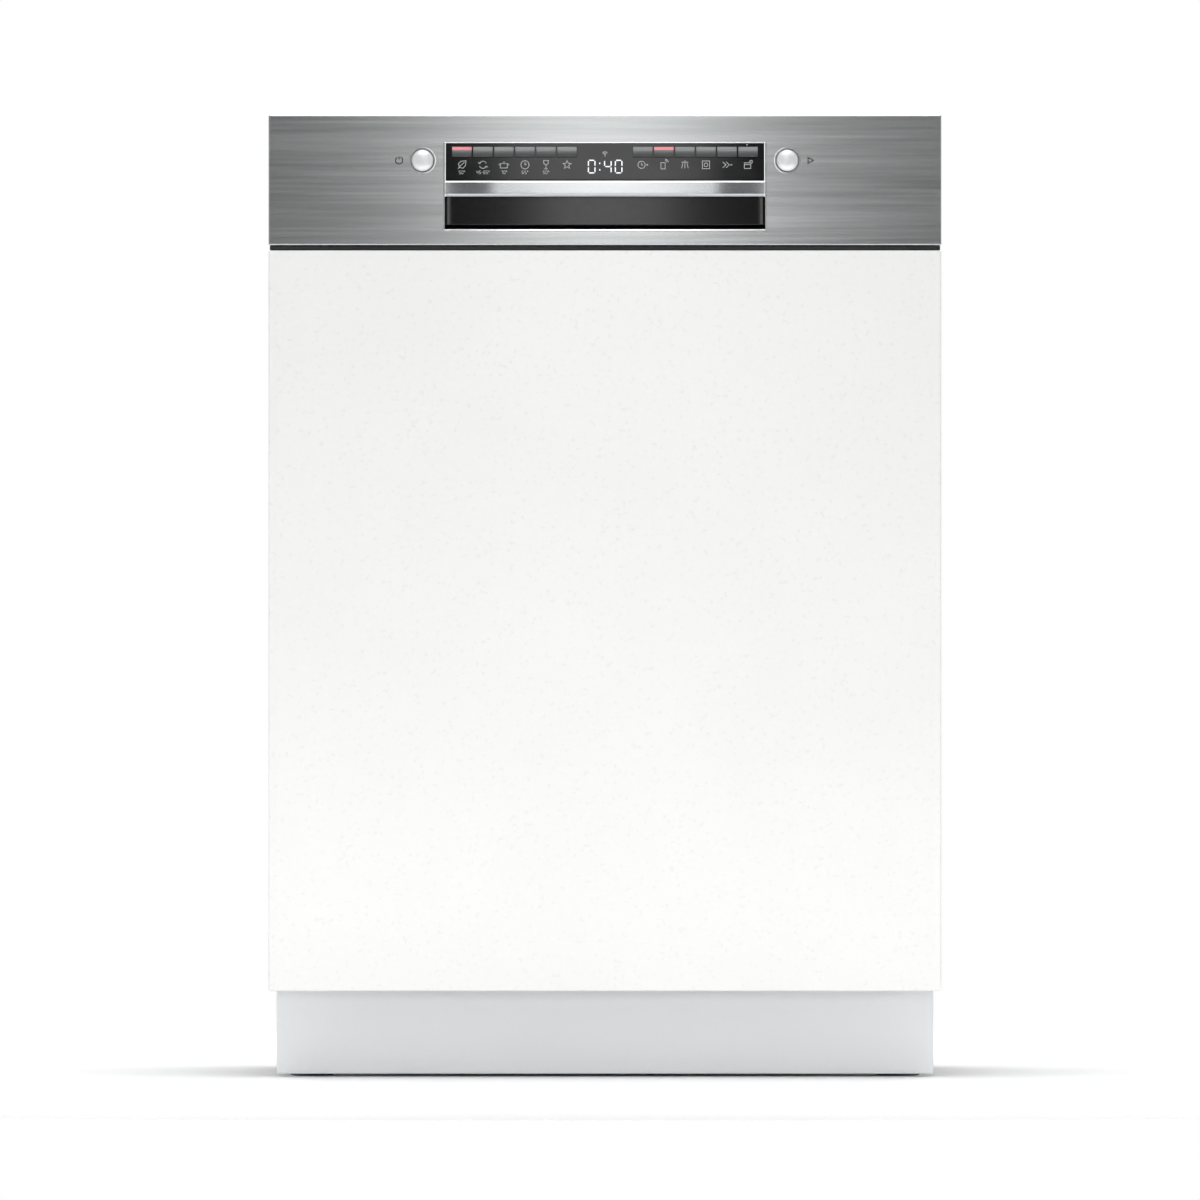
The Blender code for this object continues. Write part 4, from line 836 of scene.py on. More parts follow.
def makeMarks():
    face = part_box("control_window")[0].y - 0.03 * mm
    d = markDims
    bm = bmesh.new()
    names = {"programme_key": ("leaf", "cycle", "pot", "clock", "glass", "star"),
        "option_key": ("delay", "remote", "spray", "dry", "fast", "care")}
    under = ("50°", "45-65°", "70°", "65°", "50°", "")
    for word in names:
        for number in range(6):
            low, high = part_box(f"{word}_{number + 1}")
            strokes(bm, pictograms[names[word][number]], ((low.x + high.x) / 2, d["icons"]), d["iconSize"],
                d["stroke"], face)
            if word == "programme_key":
                drawFigures(bm, under[number], (low.x + high.x) / 2, d["figures"], d["figure"], d["figureStroke"],
                    face)
    strokes(bm, pictograms["waves"], (0, d["waves"]), 5.0 * mm, 0.5 * mm, face)
    strokes(bm, [circle(radius=0.5, count=8)], (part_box("option_key_6")[0].x + 7.8 * mm, d["dot"]), 0.9 * mm,
        0.4 * mm, face)
    place(meshObject("panelPictograms", bm, inkGrey, 0), "door")
    bm = bmesh.new()
    drawFigures(bm, "0:40", 0.2 * mm, d["digitLine"], d["digit"], d["digitStroke"], face, 0.86)
    place(meshObject("displayFigures", bm, displayWhite, 0), "door")
    bm = bmesh.new()
    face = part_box("fascia")[0].y - 0.03 * mm
    strokes(bm, pictograms["power"], (-183.0 * mm, d["buttonLine"]), 7.0 * mm, d["buttonStroke"], face)
    strokes(bm, pictograms["play"], (182.5 * mm, d["buttonLine"]), 6.2 * mm, d["buttonStroke"], face)
    place(meshObject("fasciaPictograms", bm, inkDark, 0), "door")
    print("printed marks")


makeMarks()


def makeBoards():
    low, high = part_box("furniture_panel")
    place(boxPiece("kitchenFront", low, high, whiteLacquer, 1.2 * mm, 4), "door", "furniture_panel")
    plinthLow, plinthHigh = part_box("plinth_panel")
    place(boxPiece("plinthBoard", plinthLow, plinthHigh, plinthFoil, 1.0 * mm, 3), "cabinet", "plinth_panel")
    sheet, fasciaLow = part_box("outer_door")[0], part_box("fascia")[0]
    # a black strip filling the 4.5 mm gap between the fascia and the kitchen front: painted shade standing in for the
    # gap's shadow
    gapShadeLow, gapShadeHigh = (-298 * mm, fasciaLow.y + 2.0 * mm, high.z + 0.6 * mm), (298 * mm, sheet.y - 0.4 * mm,
        fasciaLow.z - 0.5 * mm)
    place(boxPiece("jointStrip", gapShadeLow, gapShadeHigh, rubberBlack, 0.4 * mm, 2), "door")
    print("kitchen front and plinth")


makeBoards()


tubDims = {"edge": 0.5 * mm, "beadWide": 16 * mm, "beadHigh": 1.5 * mm, "filterOut": 84 * mm, "filterIn": 45.5 * mm}


def makeTub():
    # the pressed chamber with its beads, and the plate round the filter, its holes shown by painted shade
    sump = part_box("sump")
    inside = {"x": 265 * mm, "back": 246 * mm, "floor": 150 * mm, "roof": 835 * mm}
    rearXs, width, height = (-0.190, -0.105, 0.105, 0.190), tubDims["beadWide"], tubDims["beadHigh"]

    def wallSpots(sideZ, rearZ):
        sideYs = (-0.105, -0.005, 0.095, 0.185)
        found = [((side * inside["x"], y, sideZ), (-side, 0, 0), upward) for side in (-1, 1) for y in sideYs]
        return found + [((x, inside["back"], rearZ), forward, upward) for x in rearXs]

    place(cadCopy("tub", steelTub, tubDims["edge"], 2, 50, 60), "cabinet", "tub")
    placeBeads("chamberBeads", (300 * mm, width, height), wallSpots(0.360, 0.360), steelTub)
    roof = [((x * 0.9, 0.120, inside["roof"]), (0, 0, -1), backward) for x in rearXs]
    placeBeads("chamberShortBeads", (150 * mm, width, height), wallSpots(0.720, 0.700) + roof, steelTub)

    # the flat filter: a dished disc with rows of small black discs round the sump, painted shade standing in for fine
    # holes
    centre = ((sump[0].x + sump[1].x) / 2, -78 * mm, inside["floor"])
    disc = [(tubDims["filterIn"], 0.3 * mm), (tubDims["filterIn"], 1.1 * mm), (60 * mm, 1.3 * mm),
        (78 * mm, 1.9 * mm), (tubDims["filterOut"], 1.2 * mm), (tubDims["filterOut"], 0.3 * mm),
        (tubDims["filterIn"], 0.3 * mm)]
    plate = lathe("flatFilter", disc, centre, upward, steelTub, 72)
    spots = []
    for row, radius in enumerate((49, 53, 57, 61, 65, 69, 73)):
        count = int(2 * math.pi * radius / 5.2)
        for k in range(count):
            angle = 2 * math.pi * (k + 0.5 * (row % 2)) / count
            x, y = centre[0] + radius * mm * math.cos(angle), centre[1] + radius * mm * math.sin(angle)
            if math.hypot(x, y) > 22 * mm:  # clear of the spray arm's post
                rise = 1.25 * mm + max(0, radius - 60) / 18 * 0.6 * mm
                spots.append(((x, y, centre[2] + rise), upward, rightward))
    # no hole is cut: each is a thin black disc on the plate, painted shade where the hole would look dark
    hole = lathe("pinHole", inMm((1.0, 0), (0.85, 0.12), (0, 0.13)), origin, upward, rubberBlack, 10)
    holeShades = scattered("filterHoles", hole, spots, rubberBlack)
    gap = lathe("postGap", [(0, -0.01), (0.019, -0.01), (0.019, 0.01), (0, 0.01)], (0, 0, centre[2]), upward,
        steelTub, 40)
    carve(plate, gap)
    place(joinPieces("flatFilter", [plate, holeShades]), "cabinet")

    for node, edge in (("sump", 0.6), ("water_softener", 1.2), ("circulation_pump", 1.0), ("inlet_valve", 0.8),
            ("base_pan", 0.8)):
        place(cadCopy(node, blackGrained if node == "base_pan" else lightPlastic, edge * mm, 2), "cabinet", node)
    place(cadCopy("feed_tube", lightPlastic, 0.4 * mm, 2, 50, 60), "cabinet", "feed_tube")
    place(cadCopy("tub_seal", rubberBlack, 1.2 * mm, 3), "cabinet", "tub_seal")
    print("wash chamber")


makeTub()


sheetDims = {
    "outside": 298.5 * mm, "screw": 3.3 * mm, "springWire": 1.1 * mm, "springPitch": 2.5 * mm, "hook": 8 * mm,
    "sideBead": (380 * mm, 30 * mm, 0.5 * mm), "rearBead": (480 * mm, 32 * mm, 3.0 * mm),
    "topBead": (500 * mm, 30 * mm, 2.0 * mm),
}


def makeCasing():
    # side, back and top sheets with their pressed beads and screws, the hinges and their springs
    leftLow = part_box("side_panel_left")[0]
    rearHigh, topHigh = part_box("rear_panel")[1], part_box("top_cover")[1]
    for node in ("side_panel_left", "side_panel_right", "rear_panel", "top_cover"):
        place(cadCopy(node, zincSheet, 0.3 * mm, 2), "cabinet", node)
    sideX = sheetDims["outside"] - 0.2 * mm
    spots = [((side * sideX, 0.030, z), (side, 0, 0), backward) for side in (-1, 1) for z in (0.20, 0.40, 0.60,
        0.78)]
    placeBeads("sideBeads", sheetDims["sideBead"], spots, zincSheet)
    spots = [((0, rearHigh.y - 0.1 * mm, z), backward, rightward) for z in (0.22, 0.36, 0.50, 0.64, 0.78)]
    placeBeads("rearBeads", sheetDims["rearBead"], spots, zincSheet)
    spots = [((0, y, topHigh.z - 0.1 * mm), upward, rightward) for y in (-0.120, 0.000, 0.120, 0.220)]
    placeBeads("topBeads", sheetDims["topBead"], spots, zincSheet)

    spots = []
    for side in (-1, 1):  # through the folded front edges, along the rear panel's sides and on top
        for z in (0.30, 0.55, 0.80):
            spots.append(((side * 294.3 * mm, leftLow.y, z), forward, rightward))
        for z in (0.18, 0.32, 0.46, 0.60, 0.74, 0.835):
            spots.append(((side * 288 * mm, rearHigh.y, z), backward, rightward))
        for y in (-0.195, 0.030, 0.255):
            spots.append(((side * 286 * mm, y, topHigh.z), upward, rightward))
    place(scattered("casingScrews", screwHead(sheetDims["screw"]), spots, zincPlate), "cabinet")

    for side, word in ((-1, "left"), (1, "right")):
        place(cadCopy("hinge_bracket_" + word, zincSheet, 0.4 * mm, 2), "cabinet", "hinge_bracket_" + word)
        low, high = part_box("door_spring_" + word)
        middle, wire, hook = (low + high) / 2, sheetDims["springWire"], sheetDims["hook"]
        bm = bmesh.new()
        bm.verts.new(origin)
        spring = meshObject(camel("door_spring_" + word), bm, zincPlate, 0)
        length = high.y - low.y - 2 * hook
        values = {
            "Coil": (high.z - low.z) / 2 - 1.3 * mm, "Wire": wire, "Turns": length / sheetDims["springPitch"],
            "Length": length,
            "Turn": (-math.pi / 2, 0, 0), "Place": (middle.x, low.y + hook, middle.z), "Material": zincPlate,
        }
        runTree(springTree, spring, values, 60)
        hooks = []
        for y, z, way in ((low.y + hook, middle.z, -1), (high.y - hook, middle.z, 1)):
            hooks.append([(middle.x, y, z + 5 * mm), (middle.x, y + way * 2 * mm, z),
                (middle.x, y + way * 7 * mm, z)])
        ends = bentWires("springHooks", hooks, wire, 1.5 * mm, zincPlate, 8)
        place(joinPieces(camel("door_spring_" + word), [spring, ends]), "cabinet", "door_spring_" + word)
    print("casing, hinges and springs")


makeCasing()


portDims = {
    "inlet": (-205 * mm, 95 * mm), "drain": (-110 * mm, 100 * mm), "gland": (205 * mm, 95 * mm),
    "footThread": 1.75 * mm, "unionThread": 1.8 * mm,
}


def makeFeetAndPorts():
    for node in ("foot_front_left", "foot_front_right", "foot_rear"):
        low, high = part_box(node)
        x, y = (low.x + high.x) / 2, (low.y + high.y) / 2
        pad, stem, tall = (high.x - low.x) / 2, 5.9 * mm, high.z - low.z
        profile = [(0, 0), (pad - 1.5 * mm, 0), (pad, 1.2 * mm), (pad, 4.5 * mm), (pad - 1.5 * mm, 6 * mm),
            (9 * mm, 7 * mm), (9 * mm, 12 * mm)]
        profile += [(8.2 * mm, 12.8 * mm), (stem - 0.6 * mm, 13 * mm)]
        height = 14 * mm
        while height < tall - 2.2 * mm:  # the thread, 1.75 mm to a turn, drawn as rings
            profile += [(stem - 0.65 * mm, height), (stem, height + 0.6 * mm), (stem, height + 0.95 * mm),
                (stem - 0.65 * mm, height + 1.55 * mm)]
            height += portDims["footThread"]
        profile += [(stem - 0.9 * mm, tall - 0.6 * mm), (0, tall)]
        place(lathe(camel(node), profile, (x, y, low.z), upward, greyPlastic, 40), node, node)
    (x, z), radius, valveBack = portDims["inlet"], 13.15 * mm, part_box("inlet_valve")[1].y
    profile = [(9.2 * mm, -17 * mm), (radius - 1 * mm, -17 * mm)]
    depth = -16 * mm
    while depth < -1.5 * mm:  # the 3/4 inch union thread, 1.8 mm to a turn, drawn as rings
        profile += [(radius - 1.0 * mm, depth), (radius, depth + 0.7 * mm), (radius, depth + 1.0 * mm),
            (radius - 1.0 * mm, depth + 1.7 * mm)]
        depth += portDims["unionThread"]
    profile += [(radius - 1.0 * mm, 0), (9.2 * mm, 0), (9.2 * mm, -17 * mm)]
    place(lathe("inletThread", profile, (x, valveBack + 0.05 * mm, z), backward, lightPlastic, 48), "cabinet")
    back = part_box("base_pan")[1].y
    barbs = inMm((8.1, -16), (10.0, -16))
    for k in range(3):
        barbs += [(10.05 * mm, (-13 + 4 * k) * mm), (10.6 * mm, (-12.6 + 4 * k) * mm),
            (10.05 * mm, (-10.4 + 4 * k) * mm)]
    barbs += inMm((9.6, 0), (8.1, 0), (8.1, -16))
    place(lathe("drainBarbs", barbs, (portDims["drain"][0], back, portDims["drain"][1]), backward, blackGrained,
        40), "cabinet")
    nut = inMm((5.2, -9), (12.6, -9), (12.6, -4), (11.6, -3.2), (9.4, -0.6), (5.2, -0.2), (5.2, -9))
    x, z = portDims["gland"]
    place(lathe("glandNut", nut, (x, back - 6 * mm + 0.2 * mm, z), backward, blackGrained, 6, 20), "cabinet")
    print("feet and ports")


makeFeetAndPorts()


linerDims = {
    "sheet": 0.8 * mm, "slope": 7 * mm, "corner": 26 * mm, "step": 6 * mm, "dish": 10 * mm, "dishX": 235 * mm,
    "dishLow": 165 * mm, "dishHigh": 820 * mm, "hole": (-79 * mm, 79 * mm, 406 * mm, 504 * mm),
    "beads": (0.250, 0.300, 0.590, 0.650, 0.710), "beadHalf": 190 * mm, "beadReach": 9 * mm, "beadHigh": 1.6 * mm,
}


def makeLiner():
    # the door's inner sheet: one pressing with a shallow dish, folded edges and the dispenser's hole
    low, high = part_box("inner_door")
    face, hole = high.y, linerDims["hole"]
    dishX, dishLow, dishHigh, slope = (linerDims[key] for key in ("dishX", "dishLow", "dishHigh", "slope"))

    def depth(x, z):
        outX, outZ = dishX - linerDims["corner"], (dishHigh - dishLow) / 2 - linerDims["corner"]
        dx, dz = max(0.0, abs(x) - outX), max(0.0, abs(z - (dishLow + dishHigh) / 2) - outZ)
        inside = linerDims["corner"] - math.hypot(dx, dz)
        t = min(1.0, max(0.0, inside / slope))
        fall = linerDims["dish"] * t * t * (3 - 2 * t)
        for centre in linerDims["beads"]:  # long shallow beads across the dish
            near = abs(z - centre) / linerDims["beadReach"]
            over = max(0.0, abs(x) - linerDims["beadHalf"]) / linerDims["beadReach"]
            reach = near * near + over * over
            if reach < 1:
                fall -= linerDims["beadHigh"] * (1 - reach) ** 0.8
        return face - fall

    def stops(start, end, fixed):
        count = round((end - start) / linerDims["step"])
        every = [start + (end - start) * k / count for k in range(count + 1)]
        every = [v for v in every if all(abs(v - f) > 2.2 * mm for f in fixed)] + list(fixed)
        return sorted(every)

    xs = stops(low.x + 1 * mm, high.x - 1 * mm, (hole[0], hole[1], -dishX, dishX, -dishX + slope, dishX - slope))
    zs = stops(low.z + 1 * mm, high.z - 1 * mm, (hole[2], hole[3], dishLow, dishHigh, dishLow + slope,
        dishHigh - slope))
    bm = bmesh.new()
    grid = [[bm.verts.new((x, depth(x, z), z)) for z in zs] for x in xs]
    for i in range(len(xs) - 1):
        for j in range(len(zs) - 1):
            x, z = (xs[i] + xs[i + 1]) / 2, (zs[j] + zs[j + 1]) / 2
            if hole[0] < x < hole[1] and hole[2] < z < hole[3]:
                continue
            if abs(x) < 16 * mm and 843.5 * mm < z < 849.5 * mm:
                continue
            bm.faces.new((grid[i][j], grid[i][j + 1], grid[i + 1][j + 1], grid[i + 1][j]))
    # folded sides and bottom, down to the outer sheet
    line = [row[-1] for row in grid][::-1]
    for way in ([row[0] for row in grid], grid[-1][:], line, grid[0][::-1]):
        back = []
        for vert in way:
            spot = vert.co.copy()
            edgeX = high.x if abs(vert.co.x - xs[-1]) < 1e-6 else (low.x if abs(vert.co.x - xs[0]) < 1e-6 else spot.x)
            edgeZ = high.z if abs(vert.co.z - zs[-1]) < 1e-6 else (low.z if abs(vert.co.z - zs[0]) < 1e-6 else spot.z)
            back.append((bm.verts.new((edgeX, spot.y - 1 * mm, edgeZ)), bm.verts.new((edgeX, low.y, edgeZ))))
        for k in range(len(way) - 1):
            bm.faces.new((way[k], way[k + 1], back[k + 1][0], back[k][0]))
            bm.faces.new((back[k][0], back[k + 1][0], back[k + 1][1], back[k][1]))
    bmesh.ops.remove_doubles(bm, verts=bm.verts, dist=1e-5)
    bmesh.ops.recalc_face_normals(bm, faces=bm.faces)
    middle = min(bm.faces, key=lambda f: (f.calc_center_median() - Vector((0, face, 0.3))).length)
    if middle.normal.y < 0:
        bmesh.ops.reverse_faces(bm, faces=bm.faces)
    sheet = meshObject("doorLiner", bm, steelTub, 45)
    shell = sheet.modifiers.new("shell", "SOLIDIFY")
    shell.thickness, shell.offset = linerDims["sheet"], -1
    settle(sheet, 45)
    place(sheet, "door", "inner_door")

    place(cadCopy("outer_door", zincSheet, 0.3 * mm, 2), "door", "outer_door")
    spots = [((side * 286 * mm, face, z), backward, rightward) for side in (-1, 1) for z in (0.158, 0.400, 0.620,
        0.840)]
    place(scattered("linerScrews", screwHead(3.4 * mm), spots, zincPlate), "door")
    for word in ("left", "right"):
        place(cadCopy("hinge_arm_" + word, zincSheet, 0.4 * mm, 2), "door", "hinge_arm_" + word)
    print("door liner")


makeLiner()


def makeDispenser():
    place(cadCopy("dispenser_body", lightPlastic, 0.8 * mm, 3), "door", "dispenser_body")
    for node in ("detergent_lid", "rinse_aid_lid"):
        a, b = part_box(node)
        middle = (a + b) / 2
        parts = [cadCopy(node, greyPlastic, 0.9 * mm, 3)]
        if node == "detergent_lid":  # thumb ribs and the latch at its top
            for k in range(5):
                z = a.z + 14 * mm + 4 * mm * k
                parts.append(boxPiece("rib", (middle.x - 14 * mm, b.y - 0.3 * mm, z),
                    (middle.x + 14 * mm, b.y + 0.7 * mm, z + 1.4 * mm), greyPlastic, 0.45 * mm, 2))
            parts.append(boxPiece("latch", (middle.x - 9 * mm, b.y - 0.5 * mm, b.z - 12 * mm),
                (middle.x + 9 * mm, b.y + 1.1 * mm, b.z - 4 * mm), blackSatin, 0.8 * mm, 3))
        else:  # a raised ring and the pull tab
            ring = inMm((17, -0.3), (19, -0.3), (18.8, 0.6), (17.2, 0.6), (17, -0.3))
            parts.append(lathe("ring", ring, (middle.x, b.y, middle.z), backward, greyPlastic, 48))
            parts.append(boxPiece("tab", (middle.x - 7 * mm, b.y - 0.5 * mm, a.z + 1 * mm),
                (middle.x + 7 * mm, b.y + 1.0 * mm, a.z + 6 * mm), greyPlastic, 0.5 * mm, 2))
        place(joinPieces(camel(node), parts), node, node)
    print("dispenser")


makeDispenser()


rackDims = {
    "wire": 1.35 * mm, "frameWire": 2.2 * mm, "bend": 13 * mm, "rimBend": 24 * mm, "across": 19, "along": 12,
    "tineY": 0.060, "tineFoot": 0.2106, "tinePitch": 36 * mm, "tines": 10,
    "spokes": 6, "spokeIn": 6.6 * mm, "spokeOut": 14.2 * mm,
}


def basketWires(name, size, midHeights=()):
    # U-shaped wires both ways, a heavier rim and rings between
    half, front, back, floor, rim = size
    w, f = rackDims["wire"], rackDims["frameWire"]
    lowZ, highZ = floor + w, floor + 3 * w - 0.3 * mm
    inX, inFront, inBack, top = half - f - w, front + f + w, back - f - w, rim - f
    chains = []
    for k in range(1, rackDims["across"]):
        x = -inX + 2 * inX * k / rackDims["across"]
        chains.append([(x, inFront, top), (x, inFront, lowZ), (x, inBack, lowZ), (x, inBack, top)])
    for k in range(1, rackDims["along"]):
        y = inFront + (inBack - inFront) * k / rackDims["along"]
        chains.append([(-inX, y, top), (-inX, y, highZ), (inX, y, highZ), (inX, y, top)])
    thin = bentWires(name + "Thin", chains, w, rackDims["bend"], rackNylon, 8)
    rings = []
    for z, inset in [(rim - f, 0)] + [(z, f - w) for z in midHeights]:
        x, a, b = half - f + inset, front + f - inset, back - f + inset
        rings.append([(-x, a, z), (x, a, z), (x, b, z), (-x, b, z), (-x, a, z)])
    thick = bentWires(name + "Rim", rings[:1], f, rackDims["rimBend"], rackNylon, 10)
    between = bentWires(name + "Rings", rings[1:], w, rackDims["rimBend"], rackNylon, 8) if midHeights else None
    return [piece for piece in (thin, thick, between) if piece]


def makeLowerRack():
    low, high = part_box("lower_rack")
    size = (247 * mm, low.y, high.y, 202 * mm, high.z)
    parts = basketWires("lowerRack", size, midHeights=(0.245, 0.300))
    carriers = []
    for node in ("rack_wheel_front_left", "rack_wheel_front_right", "rack_wheel_rear_left",
            "rack_wheel_rear_right"):
        a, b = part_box(node)
        y, z, side = (a.y + b.y) / 2, (a.z + b.z) / 2, -1 if a.x < 0 else 1
        xs = sorted((side * 235.2 * mm, side * 240.3 * mm))
        carriers.append(boxPiece("carrier", (xs[0], y - 9 * mm, z - 8 * mm), (xs[1], y + 9 * mm, 205 * mm),
            greyPlastic, 1.6 * mm, 3))
        xs = sorted((side * 236 * mm, side * 245 * mm))
        carriers.append(boxPiece("clip", (xs[0], y - 12 * mm, 198.5 * mm), (xs[1], y + 12 * mm, 205.2 * mm),
            greyPlastic, 1.2 * mm, 3))
        carriers.append(rod("axle", 3.0 * mm, (side * 238 * mm, y, z), (side * 255 * mm, y, z), zincPlate, 20))
        cap = inMm((0, 0), (5.6, 0), (6.0, 0.5), (5.6, 2.0), (3, 2.8), (0, 3.0))
        carriers.append(lathe("cap", cap, (side * 253 * mm, y, z), (side, 0, 0), greyPlastic, 28))
        wheel = inMm((3.6, -4.6), (7, -4.8), (7.4, -2.6), (13.4, -2.2), (14.2, -4.7), (17.2, -4.9))
        wheel += inMm((18, -4.1), (18, -1.2), (17.4, -0.8), (17.4, 0.8), (18, 1.2), (18, 4.1))
        wheel += inMm((17.2, 4.9), (14.2, 4.7), (13.4, 2.2), (7.4, 2.6), (7, 4.8), (3.6, 4.6), (3.6, -4.6))
        name, hub = camel(node), Vector(((a.x + b.x) / 2, y, z))
        tyre = lathe(name, wheel, hub, (side, 0, 0), lightPlastic, 56)
        spokes = []
        for k in range(rackDims["spokes"]):
            angle = 2 * math.pi * k / rackDims["spokes"]
            way = Vector((0, math.cos(angle), math.sin(angle)))
            start, end = hub + way * rackDims["spokeIn"], hub + way * rackDims["spokeOut"]
            spokes.append(rod("spoke", 3.4 * mm, start, end, lightPlastic, 10))
        place(joinPieces(name, [tyre] + spokes), node, node)
    handle = boxPiece("handle", (-70 * mm, low.y + 0.5 * mm, high.z - 30 * mm),
        (70 * mm, low.y + 7.5 * mm, high.z - 9 * mm), greyPlastic, 3 * mm, 4)
    place(joinPieces("lowerRack", parts + carriers + [handle]), "lower_rack", "lower_rack")

    low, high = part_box("plate_tines")
    y, foot = rackDims["tineY"], rackDims["tineFoot"]
    chains = [[(-0.2205, y, foot), (0.108, y, foot)]]
    rail = bentWires("tineRail", chains, 2.0 * mm, 0, rackNylon, 12)
    tines = []
    for k in range(rackDims["tines"]):
        x = low.x + 2 * mm + k * rackDims["tinePitch"]
        tines.append([(x, y, foot), (x, y, high.z - 2 * mm)])
    pins = bentWires("tinePins", tines, 1.7 * mm, 0, rackNylon, 10)
    tip = lathe("tineTip", inMm((1.7, 0), (2.0, 0.3), (2.0, 3), (1.5, 4.2), (0, 4.8)), origin, upward, rackNylon,
        12)
    spots = [((line[0][0], y, high.z - 5 * mm), upward, rightward) for line in tines]
    tips = scattered("tineTips", tip, spots, rackNylon)
    place(joinPieces("plateTines", [rail, pins, tips]), "plate_tines", "plate_tines")
    print("lower rack")


makeLowerRack()


basketDims = {
    "rib": 1.7 * mm, "wall": 2.2 * mm, "rim": 4.5 * mm, "slotPitch": 9 * mm,
    "bowX": 190 * mm, "bowInset": 3.1 * mm, "bowFoot": 300 * mm,
}


def makeCutleryBasket():
    # a moulded lattice: thick rim and corners, thin ribs between, a slotted floor and two dividers
    low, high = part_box("cutlery_basket")
    top = 315 * mm
    x0, x1, y0, y1, z0 = low.x, high.x, low.y, high.y, low.z
    wall, rib = basketDims["wall"], basketDims["rib"]
    parts = []
    for z, tall in ((z0, 5 * mm), (top - basketDims["rim"], basketDims["rim"]), (z0 + 34 * mm, 2.4 * mm),
            (z0 + 68 * mm, 2.4 * mm)):
        for a, b in (((x0, y0), (x1, y0 + wall)), ((x0, y1 - wall), (x1, y1)), ((x0, y0), (x0 + wall, y1)),
                ((x1 - wall, y0), (x1, y1))):
            parts.append(boxPiece("band", (a[0], a[1], z), (b[0], b[1], z + tall), greyPlastic, 0.5 * mm, 2))
    dividers = [y0 + (y1 - y0) * k / 3 for k in (1, 2)]
    for y in dividers:
        for z, tall in ((z0, 4 * mm), (top - 14 * mm, 4 * mm), (z0 + 50 * mm, 2.4 * mm)):
            parts.append(boxPiece("band", (x0 + 1 * mm, y - 0.95 * mm, z), (x1 - 1 * mm, y + 0.95 * mm, z + tall),
                greyPlastic, 0.4 * mm, 2))
    upright = boxPiece("upright", (-0.8 * mm, -rib / 2, 0), (0.8 * mm, rib / 2, top - z0 - 1 * mm), greyPlastic,
        0.3 * mm, 1)
    spots = []
    count = round((y1 - y0) / basketDims["slotPitch"])
    for k in range(count + 1):
        y = y0 + wall / 2 + (y1 - y0 - wall) * k / count
        spots += [((x, y, z0), upward, rightward) for x in (x0 + wall / 2, x1 - wall / 2)]
    wide = round((x1 - x0) / basketDims["slotPitch"])
    for k in range(1, wide):
        x = x0 + (x1 - x0) * k / wide
        spots += [((x, y, z0), upward, backward) for y in (y0 + wall / 2, y1 - wall / 2)]
    ribs = scattered("basketRibs", upright, spots, greyPlastic)
    inner = boxPiece("innerUpright", (-0.8 * mm, -rib / 2, 0), (0.8 * mm, rib / 2, top - z0 - 11 * mm),
        greyPlastic, 0.3 * mm, 1)
    spots = [((x0 + (x1 - x0) * k / wide, y, z0), upward, backward) for k in range(1, wide) for y in dividers]
    innerRibs = scattered("dividerRibs", inner, spots, greyPlastic)
    slat = boxPiece("slat", (-(x1 - x0) / 2 + 1 * mm, -1.1 * mm, 0), ((x1 - x0) / 2 - 1 * mm, 1.1 * mm, 2 * mm),
        greyPlastic, 0.4 * mm, 1)
    floors = round((y1 - y0) / (6 * mm))
    spots = [(((x0 + x1) / 2, y0 + (y1 - y0) * k / floors, z0 + 0.1 * mm), upward, rightward) for k in range(1,
        floors)]
    slats = scattered("basketFloor", slat, spots, greyPlastic)
    beamLow, beamHigh = ((x0 + x1) / 2 - 1.2 * mm, y0 + 1 * mm, z0 + 0.1 * mm), ((x0 + x1) / 2 + 1.2 * mm,
        y1 - 1 * mm, z0 + 3 * mm)
    parts.append(boxPiece("beam", beamLow, beamHigh, greyPlastic, 0.4 * mm, 2))
    x, inset, foot = basketDims["bowX"], basketDims["bowInset"], basketDims["bowFoot"]
    near, far, crest = y0 + inset, y1 - inset, high.z - inset
    bow = [(x, near, foot), (x, near, crest), (x, far, crest), (x, far, foot)]
    handle = bentWires("bow", [bow], 3.0 * mm, 6 * mm, greyPlastic, 16)
    grip = boxPiece("bowGrip", (186.2 * mm, -125 * mm, high.z - 6.6 * mm), (193.8 * mm, -45 * mm, high.z),
        greyPlastic, 2 * mm, 3)
    place(joinPieces("cutleryBasket", parts + [ribs, innerRibs, slats, handle, grip]), "cutlery_basket",
        "cutlery_basket")
    print("cutlery basket")


makeCutleryBasket()


